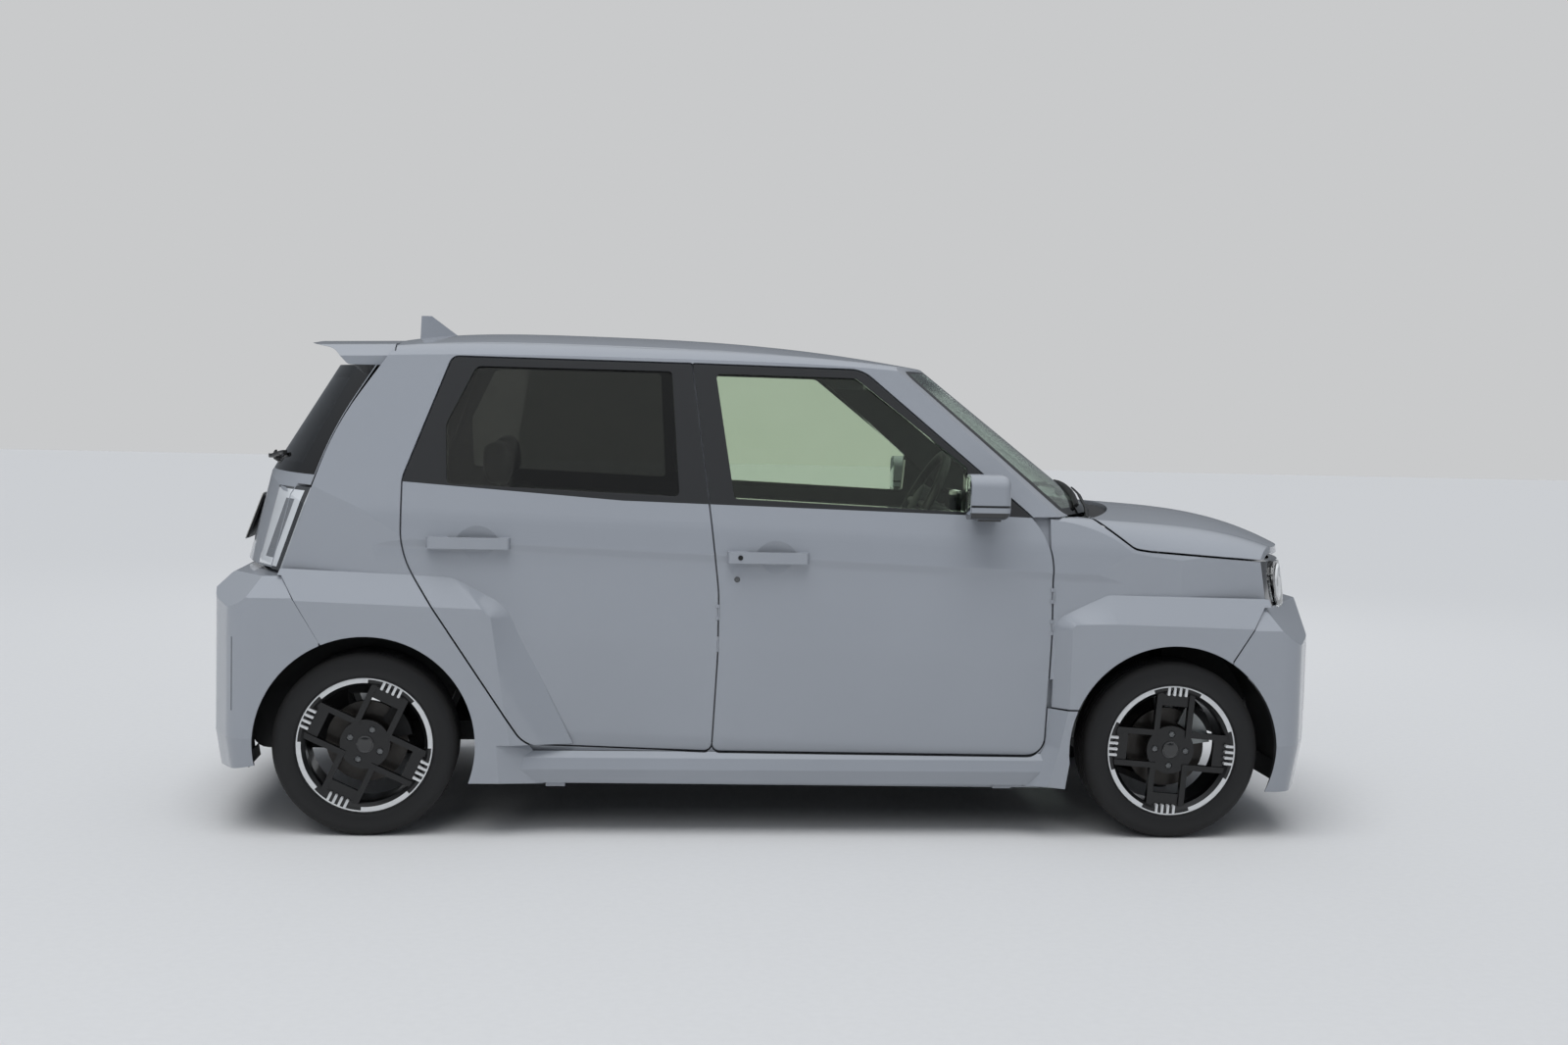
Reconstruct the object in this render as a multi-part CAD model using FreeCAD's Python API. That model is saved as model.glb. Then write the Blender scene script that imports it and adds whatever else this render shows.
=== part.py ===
import FreeCAD, Part
import math
import os

# A small electric hatchback with wide box wheel arches, five doors and right-hand drive.
# Millimetres. X points forward, Y to the left, Z up. The origin lies on the ground,
# below the middle of the car.

V = FreeCAD.Vector

# Overall sizes
LENGTH = 3580.0
WHEELBASE = 2520.0
FRONT_AXLE_X = 1250.0
REAR_AXLE_X = FRONT_AXLE_X - WHEELBASE
NOSE_X = LENGTH / 2
TAIL_X = -LENGTH / 2
FLARE_Y = 786.5
SKIN_Y = 738.0

# Wheels and tyres, a 15 inch rim in a 185 mm wide tyre
TYRE_R = 281.0
TYRE_W = 185.0
WHEEL_Y = 682.5
AXLE_Z = TYRE_R
RIM_R = 207.4
RIM_SEAT_R = 190.5
RIM_W = 164.0
BARREL_R = 178.0
HUB_FACE_Y = 733.0
NUT_CIRCLE_D = 100.0
NUT_COUNT = 4
NUT_R = 11.0
CAP_R = 27.0
DISC_R = 125.0
DISC_T = 20.0
BEARING_R = 42.0

# Wheel arches
ARCH_R = 335.0
HOUSE_R = 362.0
ARCH_LIP = 26.0
HOUSE_FRONT_Y = 428.0
HOUSE_REAR_Y = 562.0
HOUSE_T = 5.0

# Panels and clearances
GAP = 5.0
DOOR_SKIN_T = 20.0
FLANGE = 35.0
BODY_FLANGE = FLANGE - 12.0
SCREEN_T = 6.0
FENDER_T = 22.0
ROOF_T = 34.0
HOOD_T = 20.0
GLASS_T = 4.0
GLASS_DEPTH = 8.0
GLASS_EDGE = 7.0
SEAT_GAP = 0.3

# Side of the body: half width and height of each corner at x = 0, corner radius
SIDE_FALL_DEG = 2.07
SIDE_SECTION = (
    (690.0, 60.0, 0.0),
    (731.0, 300.0, 150.0),
    (738.0, 600.0, 900.0),
    (731.0, 845.0, 40.0),
    (738.0, 870.0, 14.0),
    (729.0, 950.0, 250.0),
    (706.0, 1038.0, 60.0),
    (520.0, 1750.0, 0.0),
)

# Plan of the body sides: x, half width, corner radius
SIDE_PLAN = (
    (2300.0, 606.0, 0.0),
    (1130.0, 740.0, 3000.0),
    (-1180.0, 740.0, 2600.0),
    (-2300.0, 620.0, 0.0),
)

# Inside of the cabin: half width and height of each corner
CABIN_SECTION = (
    (640.0, 60.0, 0.0),
    (655.0, 420.0, 0.0),
    (655.0, 985.0, 0.0),
    (640.0, 1030.0, 0.0),
    (464.0, 1750.0, 0.0),
)

# Roof sections from tail to nose: x, height at the middle, height at the rail
ROOF_STATIONS = (
    (-1330.0, 1500.0, 1470.0),
    (-1100.0, 1545.0, 1474.0),
    (-700.0, 1559.0, 1473.0),
    (-300.0, 1552.0, 1468.0),
    (60.0, 1531.0, 1463.0),
    (340.0, 1498.0, 1453.0),
    (640.0, 1440.0, 1425.0),
)
ROOF_RAIL_Y = 604.0
ROOF_SHOULDER_Y = 530.0
ROOF_REAR_X = -1205.0
ROOF_PANEL_Y = 548.0

# Hood sections from cowl to nose: x, middle height, shoulder half width and height,
# edge half width and height
HOOD_STATIONS = (
    (850.0, 1046.0, 684.0, 1012.0, 745.0, 950.0),
    (1000.0, 1036.0, 660.0, 1004.0, 738.0, 925.0),
    (1180.0, 1024.0, 612.0, 992.0, 726.0, 893.0),
    (1400.0, 1010.0, 580.0, 972.0, 722.0, 870.0),
    (1570.0, 982.0, 555.0, 934.0, 718.0, 838.0),
    (1700.0, 938.0, 540.0, 884.0, 714.0, 790.0),
    (1830.0, 868.0, 530.0, 810.0, 710.0, 715.0),
)

# Windscreen, tailgate and face surfaces: a point on the centre line, a lower one, bow radius
WALL_REACH = 3000.0
SCREEN_TOP = (513.0, 1475.0)
SCREEN_FOOT = (1055.0, 1057.0)
SCREEN_R = 1800.0
HOOD_REAR_X = SCREEN_FOOT[0] + 117.0
HOOD_REAR_R = SCREEN_R / 1.44
TAIL_TOP = (-1427.0, 1463.0)
TAIL_WAIST = (-1657.0, 1092.0)
TAIL_FOOT = (-1731.0, 800.0)
TAIL_R = 1300.0
FACE_TOP = (1760.0, 900.0)
FACE_FOOT = (1790.0, 714.0)
FACE_R = 1200.0

# Shut lines in side view: x, z, corner radius, anticlockwise
FRONT_DOOR = (
    (-208.0, 262.0, 25.0),
    (846.0, 255.0, 60.0),
    (860.0, 640.0, 900.0),
    (858.0, 955.0, 240.0),
    (254.0, 1461.0, 110.0),
    (-286.0, 1468.0, 8.0),
    (-222.0, 980.0, 300.0),
    (-195.0, 760.0, 500.0),
    (-195.0, 560.0, 500.0),
)
REAR_DOOR = (
    (-784.0, 281.0, 100.0),
    (-208.0, 262.0, 25.0),
    (-195.0, 560.0, 500.0),
    (-195.0, 760.0, 500.0),
    (-222.0, 980.0, 300.0),
    (-286.0, 1468.0, 8.0),
    (-1030.0, 1473.0, 30.0),
    (-1172.0, 1095.0, 120.0),
    (-1172.0, 857.0, 280.0),
)
FRONT_WINDOW = (
    (-151.0, 1051.0, 14.0),
    (580.0, 1022.0, 10.0),
    (586.0, 1160.0, 12.0),
    (232.0, 1434.0, 40.0),
    (-211.0, 1438.0, 14.0),
)
REAR_WINDOW = (
    (-1037.0, 1081.0, 16.0),
    (-322.0, 1055.0, 14.0),
    (-349.0, 1442.0, 14.0),
    (-955.0, 1444.0, 26.0),
    (-1044.0, 1262.0, 60.0),
)
FENDER_ZONE = (
    (862.0, 412.0, 0.0),
    (1433.0, 412.0, 0.0),
    (1433.0, 570.0, 0.0),
    (1541.0, 738.0, 0.0),
    (1564.0, 738.0, 0.0),
    (1541.0, 879.0, 0.0),
    (1172.0, 905.0, 40.0),
    (1122.0, 912.0, 60.0),
    (985.0, 1012.0, 0.0),
    (862.0, 1006.0, 0.0),
    (720.0, 1006.0, 0.0),
    (720.0, 900.0, 0.0),
)
HOOD_ZONE = (
    (1172.0, 909.0, 40.0),
    (1541.0, 883.0, 0.0),
    (1860.0, 858.0, 0.0),
    (1860.0, 1100.0, 0.0),
    (985.0, 1100.0, 0.0),
    (985.0, 1018.0, 0.0),
    (1122.0, 916.0, 60.0),
)

# Windscreen seen from the front: half width, height, corner radius
SCREEN_OUTLINE = (
    (-655.0, 1015.0, 20.0),
    (655.0, 1015.0, 20.0),
    (552.0, 1460.0, 40.0),
    (-552.0, 1460.0, 40.0),
)

# Roof fin seen from above: x, y
FIN_FOOT = ((-1182.0, -22.0), (-1017.0, -7.0), (-1017.0, 7.0), (-1182.0, 22.0))
FIN_TOP = ((-1180.0, -4.0), (-1146.0, -3.0), (-1146.0, 3.0), (-1180.0, 4.0))
FIN_Z = 1550.0
FIN_TOP_Z = 1614.0

# Box wheel arches in side view: outline on the body skin and on the outer face
FRONT_FLARE_BASE = (
    (866.0, 410.0, 0.0),
    (1700.0, 410.0, 0.0),
    (1700.0, 762.0, 0.0),
    (1036.0, 770.0, 60.0),
    (868.0, 690.0, 60.0),
)
FRONT_FLARE_FACE = (
    (912.0, 410.0, 0.0),
    (1700.0, 410.0, 0.0),
    (1700.0, 668.0, 0.0),
    (1060.0, 683.0, 20.0),
    (914.0, 680.0, 20.0),
)
REAR_FLARE_BASE = (
    (-1700.0, 285.0, 0.0),
    (-637.0, 285.0, 0.0),
    (-850.0, 712.0, 120.0),
    (-1010.0, 797.0, 150.0),
    (-1700.0, 822.0, 0.0),
)
REAR_FLARE_FACE = (
    (-1700.0, 285.0, 0.0),
    (-830.0, 285.0, 0.0),
    (-893.0, 680.0, 20.0),
    (-920.0, 704.0, 20.0),
    (-1700.0, 730.0, 0.0),
)

# Door pull handles: middle (x, z) on the front and the rear door, and the bowl behind each
HANDLE = ((-45.0, 872.0), (-966.0, 903.0))
HANDLE_L = 256.0
HANDLE_H = 36.0
HANDLE_OUT = 27.0
HANDLE_T = 16.0
HANDLE_FOOT = 66.0
SCOOP_R = 68.0
SCOOP_DEPTH = 14.0
SCOOP_AHEAD = 27.0

# Body side panel in side view: outer skin and hinge pillar
SIDE_ZONE = (
    (-1270.0, 158.0, 0.0),
    (906.0, 150.0, 0.0),
    (944.0, 408.0, 0.0),
    (700.0, 408.0, 0.0),
    (700.0, 1008.0, 0.0),
    (1000.0, 1014.0, 0.0),
    (1000.0, 1600.0, 0.0),
    (-1196.0, 1600.0, 0.0),
    (-1206.0, 1503.0, 0.0),
    (-1380.0, 1250.0, 900.0),
    (-1442.0, 1066.0, 0.0),
    (-1538.0, 797.0, 0.0),
    (-1526.0, 795.0, 0.0),
    (-1408.0, 597.0, 0.0),
    (-1270.0, 420.0, 0.0),
)
# Hinges: door axes at the skin in the shut gaps, knuckle heights, and the two lid axes (x, z)
DOOR_HINGE_Y = 737.0
DOOR_HINGE_X = (860.0, -195.0)
DOOR_HINGE_Z = ((665.0, 765.0), (600.0, 700.0))
DOOR_KNUCKLE_R = 2.2
DOOR_KNUCKLE_L = 24.0
LEAF_T = 2.0
HOOD_HINGE_Y = 600.0
HOOD_HINGE_Z = 1003.0
HOOD_HINGE_BEHIND = 10.6
HOOD_KNUCKLE_R = 5.0
TAILGATE_HINGE = (-1209.5, 1524.0)
TAILGATE_HINGE_Y = 130.0
TAILGATE_KNUCKLE_R = 2.2
KNUCKLE_L = 16.0
COWL_Y = 640.0
COWL_DROP = 12.0
HINGE_PILLAR = (760.0, 905.0, 240.0, 1010.0)
FENDER_SEAT = 36.0

# Sill and its ends
SILL_SECTION = (
    (650.0, 160.0, 0.0),
    (742.0, 164.0, 0.0),
    (760.0, 209.0, 4.0),
    (752.0, 244.0, 6.0),
    (736.0, 263.0, 0.0),
    (650.0, 263.0, 0.0),
)
SILL_FROM_X = -935.0
SILL_TO_X = 906.0
SILL_FRONT_BASE = (
    (780.0, 160.0, 0.0),
    (906.0, 150.0, 0.0),
    (944.0, 408.0, 0.0),
    (862.0, 408.0, 0.0),
    (848.0, 290.0, 40.0),
)
SILL_FRONT_FACE = (
    (850.0, 166.0, 0.0),
    (905.0, 160.0, 0.0),
    (943.0, 407.0, 0.0),
    (908.0, 407.0, 0.0),
    (884.0, 290.0, 40.0),
)
SILL_REAR_BASE = (
    (-960.0, 160.0, 0.0),
    (-725.0, 160.0, 0.0),
    (-760.0, 263.0, 0.0),
    (-888.0, 455.0, 0.0),
    (-1010.0, 460.0, 0.0),
)
SILL_REAR_FACE = (
    (-960.0, 168.0, 0.0),
    (-860.0, 168.0, 0.0),
    (-872.0, 290.0, 0.0),
    (-925.0, 453.0, 0.0),
    (-1010.0, 458.0, 0.0),
)

# Jacking pads under the sills
JACK_X = (715.0, -690.0)
JACK_Y = 712.0
JACK_PAD = (30.0, 14.0)
JACK_Z = 150.0

# Bumpers: plan outlines (x, half width, radius) and side outlines
FRONT_BUMPER_PLAN = (
    (1300.0, 786.5, 0.0),
    (1650.0, 786.5, 90.0),
    (1732.0, 610.0, 170.0),
    (1790.0, 300.0, 700.0),
)
FRONT_BUMPER_ZONE = (
    (1500.0, 150.0, 0.0),
    (1752.0, 150.0, 30.0),
    (1790.0, 215.0, 20.0),
    (1776.0, 285.0, 20.0),
    (1790.0, 420.0, 60.0),
    (1790.0, 640.0, 60.0),
    (1782.0, 732.0, 0.0),
    (1568.0, 732.0, 0.0),
    (1541.0, 734.0, 0.0),
    (1436.0, 567.0, 0.0),
    (1400.0, 400.0, 0.0),
)
BUMPER_T = 24.0
BUMPER_END_X = 1550.0
LEDGE_DEPTH = 60.0
LEDGE_HALF = 640.0
REAR_BUMPER_PLAN = (
    (-1300.0, 786.5, 0.0),
    (-1668.0, 786.5, 90.0),
    (-1744.0, 610.0, 190.0),
    (-1790.0, 300.0, 700.0),
)
REAR_BUMPER_ZONE = (
    (-1408.0, 597.0, 0.0),
    (-1527.0, 793.0, 0.0),
    (-1700.0, 790.0, 30.0),
    (-1781.0, 712.0, 30.0),
    (-1790.0, 560.0, 60.0),
    (-1790.0, 290.0, 30.0),
    (-1762.0, 185.0, 30.0),
    (-1560.0, 225.0, 0.0),
    (-1400.0, 400.0, 0.0),
)
FACE_T = 26.0
FACE_OUTLINE = ((-700.0, 690.0), (700.0, 690.0), (700.0, 900.0), (-700.0, 900.0))
GRILLE = (470.0, 232.0, 372.0)
PLATE_SEAT = (172.0, 436.0, 610.0)
PLATE_DEPTH = 10.0
GRILLE_BARS = 4
GRILLE_BAR_T = 12.0

# Round headlamps and upright tail lamps
HEADLAMP_Y = 545.0
HEADLAMP_Z = 803.0
HEADLAMP_R = 90.0
HEADLAMP_YAW_DEG = 25.0
TAIL_LAMP = (
    (-1444.1, 1061.0, 0.0),
    (-1850.0, 1061.0, 0.0),
    (-1850.0, 802.0, 0.0),
    (-1540.1, 802.0, 0.0),
)
TAIL_LAMP_INNER_Y = 600.0
TAIL_LAMP_T = 46.0
TAILGATE_EDGE = (
    (-1212.0, 1440.0, 0.0),
    (-1260.0, 1440.0, 0.0),
    (-1387.0, 1250.0, 900.0),
    (-1450.0, 1068.0, 0.0),
    (-1850.0, 1068.0, 0.0),
    (-1850.0, 1440.0, 0.0),
)
TAILGATE_WINDOW = (470.0, 1120.0, 1392.0)
TAILGATE_T = 45.0
TAILGATE_WAIST_Z = 1068.0
TAILGATE_FOOT_Z = 806.0
SPOILER = (
    (-1212.0, 1440.0, 0.0),
    (-1212.0, 1560.0, 0.0),
    (-1492.0, 1560.0, 0.0),
    (-1494.0, 1508.0, 3.0),
    (-1400.0, 1490.0, 60.0),
    (-1352.0, 1440.0, 20.0),
)
SPOILER_Y = 585.0
SPOILER_ROOT_Z = 1531.0
SPOILER_FALL_DEG = -1.6
SPOILER_CROWN = (
    (-600.0, 1300.0, 0.0),
    (600.0, 1300.0, 0.0),
    (600.0, 1462.0, 0.0),
    (520.0, 1508.0, 60.0),
    (0.0, 1531.0, 3000.0),
    (-520.0, 1508.0, 60.0),
    (-600.0, 1462.0, 0.0),
)
TAILGATE_GLASS_EDGE = (
    (-1216.0, 1440.0, 0.0),
    (-1264.0, 1440.0, 0.0),
    (-1391.0, 1250.0, 900.0),
    (-1442.0, 1099.0, 0.0),
    (-1850.0, 1099.0, 0.0),
    (-1850.0, 1440.0, 0.0),
)

# Mirror seen from the front and its foot on the door
MIRROR_SECTION = (
    (-868.0, 1010.0, 30.0),
    (-762.0, 1004.0, 30.0),
    (-762.0, 1150.0, 40.0),
    (-864.0, 1142.0, 40.0),
)
MIRROR_X = (566.0, 692.0)
MIRROR_FOOT = (600.0, 672.0, 1000.0, 1024.0)

# Running gear: the steering axis leans in towards its top
KING_FOOT = (625.0, 165.0)
KING_TOP = (505.0, 765.0)
STEER_DEG = 33.0
STRUT_R = 21.0
SPRING_R = 58.0
TOWER_R = 84.0
TOWER_Z = 775.0
ARM_Z = 142.0
ARM_T = 22.0
RAIL_Y = (330.0, 400.0)
RAIL_Z = (400.0, 490.0)

# Floor, firewall and the heavy blocks
FLOOR_Z = 262.0
FLOOR_T = 14.0
INNER_Y = 632.0
HOUSE_OUTER_REAR_Y = 652.0
LINER_Y = 762.0
SIDE_SEAM_X = -1390.0
END_PANEL_Z = 755.0
FLOOR_FROM_X = -800.0
FIREWALL_X = 935.0
FIREWALL_TOP_Z = 960.0
BOOT_Z = 440.0
BOOT_TO_X = -1660.0
BATTERY = (-720.0, 640.0, 500.0, 152.0)
DRIVE_UNIT = (1040.0, 1390.0, 290.0, 240.0, 640.0)

SUBFRAME = (1130.0, 1330.0, 330.0, 182.0, 240.0)

# Inside
SEAT_Y = 335.0
SEAT_W = 480.0
WHEEL_RIM_R = 180.0
STEERING_CENTRE = (486.0, -335.0, 1030.0)
STEERING_TILT_DEG = 28.0

SEAT_PROFILE = (
    (-70.0, 350.0, 40.0),
    (440.0, 360.0, 40.0),
    (440.0, 470.0, 50.0),
    (10.0, 455.0, 60.0),
    (-185.0, 1030.0, 40.0),
    (-285.0, 1020.0, 40.0),
)
HEAD_REST = (
    (-300.0, 1060.0, 25.0),
    (-205.0, 1068.0, 25.0),
    (-222.0, 1215.0, 30.0),
    (-312.0, 1205.0, 30.0),
)
REAR_SEAT_SHIFT = (-640.0, 20.0)
REAR_SEAT_Y = 600.0
DASH = (
    (660.0, 640.0, 30.0),
    (921.0, 640.0, 0.0),
    (921.0, 960.0, 0.0),
    (860.0, 992.0, 30.0),
    (690.0, 968.0, 40.0),
    (630.0, 830.0, 60.0),
)
DISC_Y = 689.0
DISC_HAT_R = 62.0
BEARING_Y = (664.0, 600.0)
HUB_R = 76.0
SPOKE_FACE_Y = 751.0
FORK_COUNT = 4
FORK_HALF = 52.0
ARM_W = 18.0
WEB_FROM_R = 140.0
WEB_RECESS = 8.0
FRONT_WHEEL_TURN_DEG = 4.3
REAR_WHEEL_TURN_DEG = 25.0
RIM_LIMIT = (
    (560.0, 0.0, 0.0),
    (800.0, 0.0, 0.0),
    (800.0, RIM_R, 0.0),
    (WHEEL_Y + RIM_W / 2 - 8, RIM_R, 0.0),
    (WHEEL_Y + RIM_W / 2 - 9, RIM_SEAT_R, 0.0),
    (WHEEL_Y - RIM_W / 2 + 9, RIM_SEAT_R, 0.0),
    (WHEEL_Y - RIM_W / 2 + 8, RIM_R, 0.0),
    (560.0, RIM_R, 0.0),
)


def outline(points, place):
    """Closed wire through (a, b) or (a, b, radius) corners, put in space by place(a, b)."""
    count = len(points)
    stretches = []
    for i in range(count):
        here = V(points[i][0], points[i][1], 0)
        radius = points[i][2] if len(points[i]) > 2 else 0.0
        if radius == 0.0:
            stretches.append((here, None, here))
            continue
        before = V(points[i - 1][0], points[i - 1][1], 0) - here
        after = V(points[(i + 1) % count][0], points[(i + 1) % count][1], 0) - here
        before.normalize()
        after.normalize()
        half = before.getAngle(after) / 2
        reach = radius / math.tan(half)
        inward = before + after
        inward.normalize()
        middle = here + inward * (radius / math.sin(half) - radius)
        stretches.append((here + before * reach, middle, here + after * reach))
    edges = []
    for i in range(count):
        start, middle, end = stretches[i]
        following = stretches[(i + 1) % count][0]
        if middle is not None:
            edges.append(Part.Arc(place(start.x, start.y), place(middle.x, middle.y),
                                  place(end.x, end.y)).toShape())
        if (following - end).Length > 1e-4:
            edges.append(Part.LineSegment(place(end.x, end.y),
                                          place(following.x, following.y)).toShape())
    return Part.Wire(edges)


def inset(points, distance):
    """The same anticlockwise outline moved inwards by a distance, or outwards if negative."""
    count = len(points)
    moved = []
    for i in range(count):
        before = V(points[i - 1][0], points[i - 1][1], 0)
        here = V(points[i][0], points[i][1], 0)
        after = V(points[(i + 1) % count][0], points[(i + 1) % count][1], 0)
        into = here - before
        out = after - here
        into.normalize()
        out.normalize()
        turn = into.x * out.y - into.y * out.x
        normal_in = V(-into.y, into.x, 0)
        normal_out = V(-out.y, out.x, 0)
        spread = normal_in + normal_out
        corner = here + spread * (2 * distance / (spread.Length * spread.Length))
        radius = points[i][2] if len(points[i]) > 2 else 0.0
        if radius > 0.0:
            radius = max(radius - distance * (1 if turn > 0 else -1), 0.5)
        moved.append((corner.x, corner.y, radius))
    return tuple(moved)


def side_plate(points, y_from, y_to):
    """An outline in side view, (x, z), as a plate between two widths."""
    wire = outline(points, lambda a, b: V(a, y_from, b))
    return Part.Face(wire).extrude(V(0, y_to - y_from, 0))


def deck_plate(points, z_from, z_to):
    """An outline seen from above, (x, y), as a plate between two heights."""
    wire = outline(points, lambda a, b: V(a, b, z_from))
    return Part.Face(wire).extrude(V(0, 0, z_to - z_from))


def front_plate(points, x_from, x_to):
    """An outline seen from the front, (y, z), as a plate between two places along the car."""
    wire = outline(points, lambda a, b: V(x_from, a, b))
    return Part.Face(wire).extrude(V(x_to - x_from, 0, 0))


def block(x_from, x_to, y_from, y_to, z_from, z_to):
    return Part.makeBox(x_to - x_from, y_to - y_from, z_to - z_from, V(x_from, y_from, z_from))


def rod(start, end, radius):
    return Part.makeCylinder(radius, (end - start).Length, start, end - start)


def across(point):
    return V(point.x, -point.y, point.z)


def both_sides(half):
    """A half outline (half width, height, radius) closed with its mirror image."""
    right = [(-a, b, r) for a, b, r in half]
    left = [(a, b, r) for a, b, r in reversed(half)]
    return tuple(left + right)


def mirrored(shape):
    return shape.mirror(V(0, 0, 0), V(0, 1, 0))


def fused(shapes):
    return shapes[0].multiFuse(shapes[1:]) if len(shapes) > 1 else shapes[0]


def clean(shape):
    """The solids of a shape, joined faces merged."""
    merged = shape.removeSplitter()
    solids = [s for s in merged.Solids if s.Volume > 30.0]
    return solids[0] if len(solids) == 1 else Part.makeCompound(solids)


def write(name, shape):
    solid = clean(shape)
    solid.exportStep("parts/" + name + ".step")
    print(name, len(solid.Solids), "solids, valid", solid.isValid(), round(solid.Volume / 1e6, 2), "litres")


def section_bar(half):
    """A cross-section run along the whole car, falling towards the nose."""
    bar = front_plate(both_sides(half), -2400.0, 2400.0)
    bar.rotate(V(0, 0, 0), V(0, 1, 0), SIDE_FALL_DEG)
    return bar


def skin(depth):
    """All that lies inside the body sides, from a depth under their outer face."""
    section = [(y - depth, z, r) for y, z, r in SIDE_SECTION]
    plan = [(x, y - depth, r) for x, y, r in SIDE_PLAN]
    right = [(x, -y, r) for x, y, r in plan]
    left = list(reversed(plan))
    outline_points = tuple(left + right)
    return section_bar(section).common(deck_plate(outline_points, -200.0, 2000.0))


def bowed_wall(top, foot, bow_radius, facing, depth):
    """The space behind a bowed wall that slopes from top to foot, less a depth; facing +1 is the nose."""
    run = V(foot[0] - top[0], 0, foot[1] - top[1])
    length = run.Length
    run.normalize()
    outward = V(-run.z, 0, run.x)
    if outward.x * facing < 0:
        outward = outward * -1
    axis = V(top[0], 0, top[1]) - run * WALL_REACH - outward * bow_radius
    return Part.makeCylinder(bow_radius - depth, length + 2 * WALL_REACH, axis, run)


def roof_space(drop):
    """All that lies below the roof skin, less a drop."""
    sections = []
    for x, middle, rail in ROOF_STATIONS:
        shoulder = rail + 0.56 * (middle - rail)
        rail_point = V(x, -ROOF_RAIL_Y, rail - drop)
        shoulder_point = V(x, -ROOF_SHOULDER_Y, shoulder - drop)
        chord = shoulder_point - rail_point
        bulge = V(0, -chord.z, chord.y)
        bulge.normalize()
        bend = (rail_point + shoulder_point) * 0.5 + bulge * 9.0
        outer = V(x, -ROOF_RAIL_Y - 60, rail - drop - 90)
        low = V(x, -ROOF_RAIL_Y - 60, 1000)
        edges = [
            Part.LineSegment(low, outer).toShape(),
            Part.LineSegment(outer, rail_point).toShape(),
            Part.Arc(rail_point, bend, shoulder_point).toShape(),
            Part.Arc(shoulder_point, V(x, 0, middle - drop), across(shoulder_point)).toShape(),
            Part.Arc(across(shoulder_point), across(bend), across(rail_point)).toShape(),
            Part.LineSegment(across(rail_point), across(outer)).toShape(),
            Part.LineSegment(across(outer), across(low)).toShape(),
            Part.LineSegment(across(low), low).toShape(),
        ]
        sections.append(Part.Wire(edges))
    return Part.makeLoft(sections, True, False)


def hood_space(drop):
    """All that lies below the hood skin, less a drop."""
    sections = []
    for x, middle, shoulder_y, shoulder_z, edge_y, edge_z in HOOD_STATIONS:
        edge_point = V(x, -edge_y, edge_z - drop)
        shoulder_point = V(x, -shoulder_y, shoulder_z - drop)
        chord = shoulder_point - edge_point
        bulge = V(0, -chord.z, chord.y)
        bulge.normalize()
        bend = (edge_point + shoulder_point) * 0.5 + bulge * 0.14 * chord.Length
        low = V(x, -edge_y, 500)
        edges = [
            Part.LineSegment(low, edge_point).toShape(),
            Part.Arc(edge_point, bend, shoulder_point).toShape(),
            Part.Arc(shoulder_point, V(x, 0, middle - drop), across(shoulder_point)).toShape(),
            Part.Arc(across(shoulder_point), across(bend), across(edge_point)).toShape(),
            Part.LineSegment(across(edge_point), across(low)).toShape(),
            Part.LineSegment(across(low), low).toShape(),
        ]
        sections.append(Part.Wire(edges))
    return Part.makeLoft(sections, True, False)


def wheel_hole(axle_x, radius, y_from, y_to):
    """A round space about an axle line."""
    return Part.makeCylinder(radius, y_to - y_from, V(axle_x, y_from, AXLE_Z), V(0, 1, 0))


def arch_space(axle_x, inner_y):
    """The wheel arch of the right side: a mouth through the lip and a wider space behind it."""
    lip_y = -FLARE_Y + ARCH_LIP
    mouth = wheel_hole(axle_x, ARCH_R, -FLARE_Y - 60, -inner_y)
    house = wheel_hole(axle_x, HOUSE_R, lip_y, -inner_y)
    foot = block(axle_x - ARCH_R + 26, axle_x + ARCH_R - 26, -FLARE_Y - 60, -inner_y, 0, AXLE_Z - 120)
    return fused([mouth, house, foot])


def flare(base, face):
    """A box wheel arch of the right side, bevelled from the body skin to its outer face."""
    root_y = -SKIN_Y + 18.0
    low = outline(base, lambda a, b: V(a, root_y, b))
    skirt = outline(base, lambda a, b: V(a, -SKIN_Y + 3.0, b))
    high = outline(face, lambda a, b: V(a, -FLARE_Y, b))
    bevel = Part.makeLoft([skirt, high], True, True)
    rooted = Part.makeLoft([low, skirt], True, True)
    return bevel.fuse(rooted)


def half_space(point, normal, reach=3000.0):
    """A large block on the side of a plane that its normal points to."""
    slab = Part.makeBox(2 * reach, 2 * reach, reach, V(-reach, -reach, 0))
    slab.Placement = FreeCAD.Placement(point, FreeCAD.Rotation(V(0, 0, 1), normal))
    return slab


def tail_space(depth):
    """All that lies ahead of the tailgate skin, less a depth."""
    upper = bowed_wall(TAIL_TOP, TAIL_WAIST, TAIL_R, -1, depth)
    lower = bowed_wall(TAIL_WAIST, TAIL_FOOT, TAIL_R, -1, depth)
    return upper.common(lower)


def leaf(door, root_x, root_y):
    """The fixed halves of a right door's hinges: a leaf in the shut gap and its knuckle on the axis."""
    halves = []
    axis_x = DOOR_HINGE_X[door]
    for z in DOOR_HINGE_Z[door]:
        z_from = z - DOOR_KNUCKLE_L / 2
        z_to = z + DOOR_KNUCKLE_L / 2
        halves.append(block(axis_x - LEAF_T / 2, root_x, -DOOR_HINGE_Y, -root_y, z_from, z_to))
        halves.append(Part.makeCylinder(DOOR_KNUCKLE_R, z_to - z_from, V(axis_x, -DOOR_HINGE_Y, z_from)))
    return fused(halves)


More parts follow.
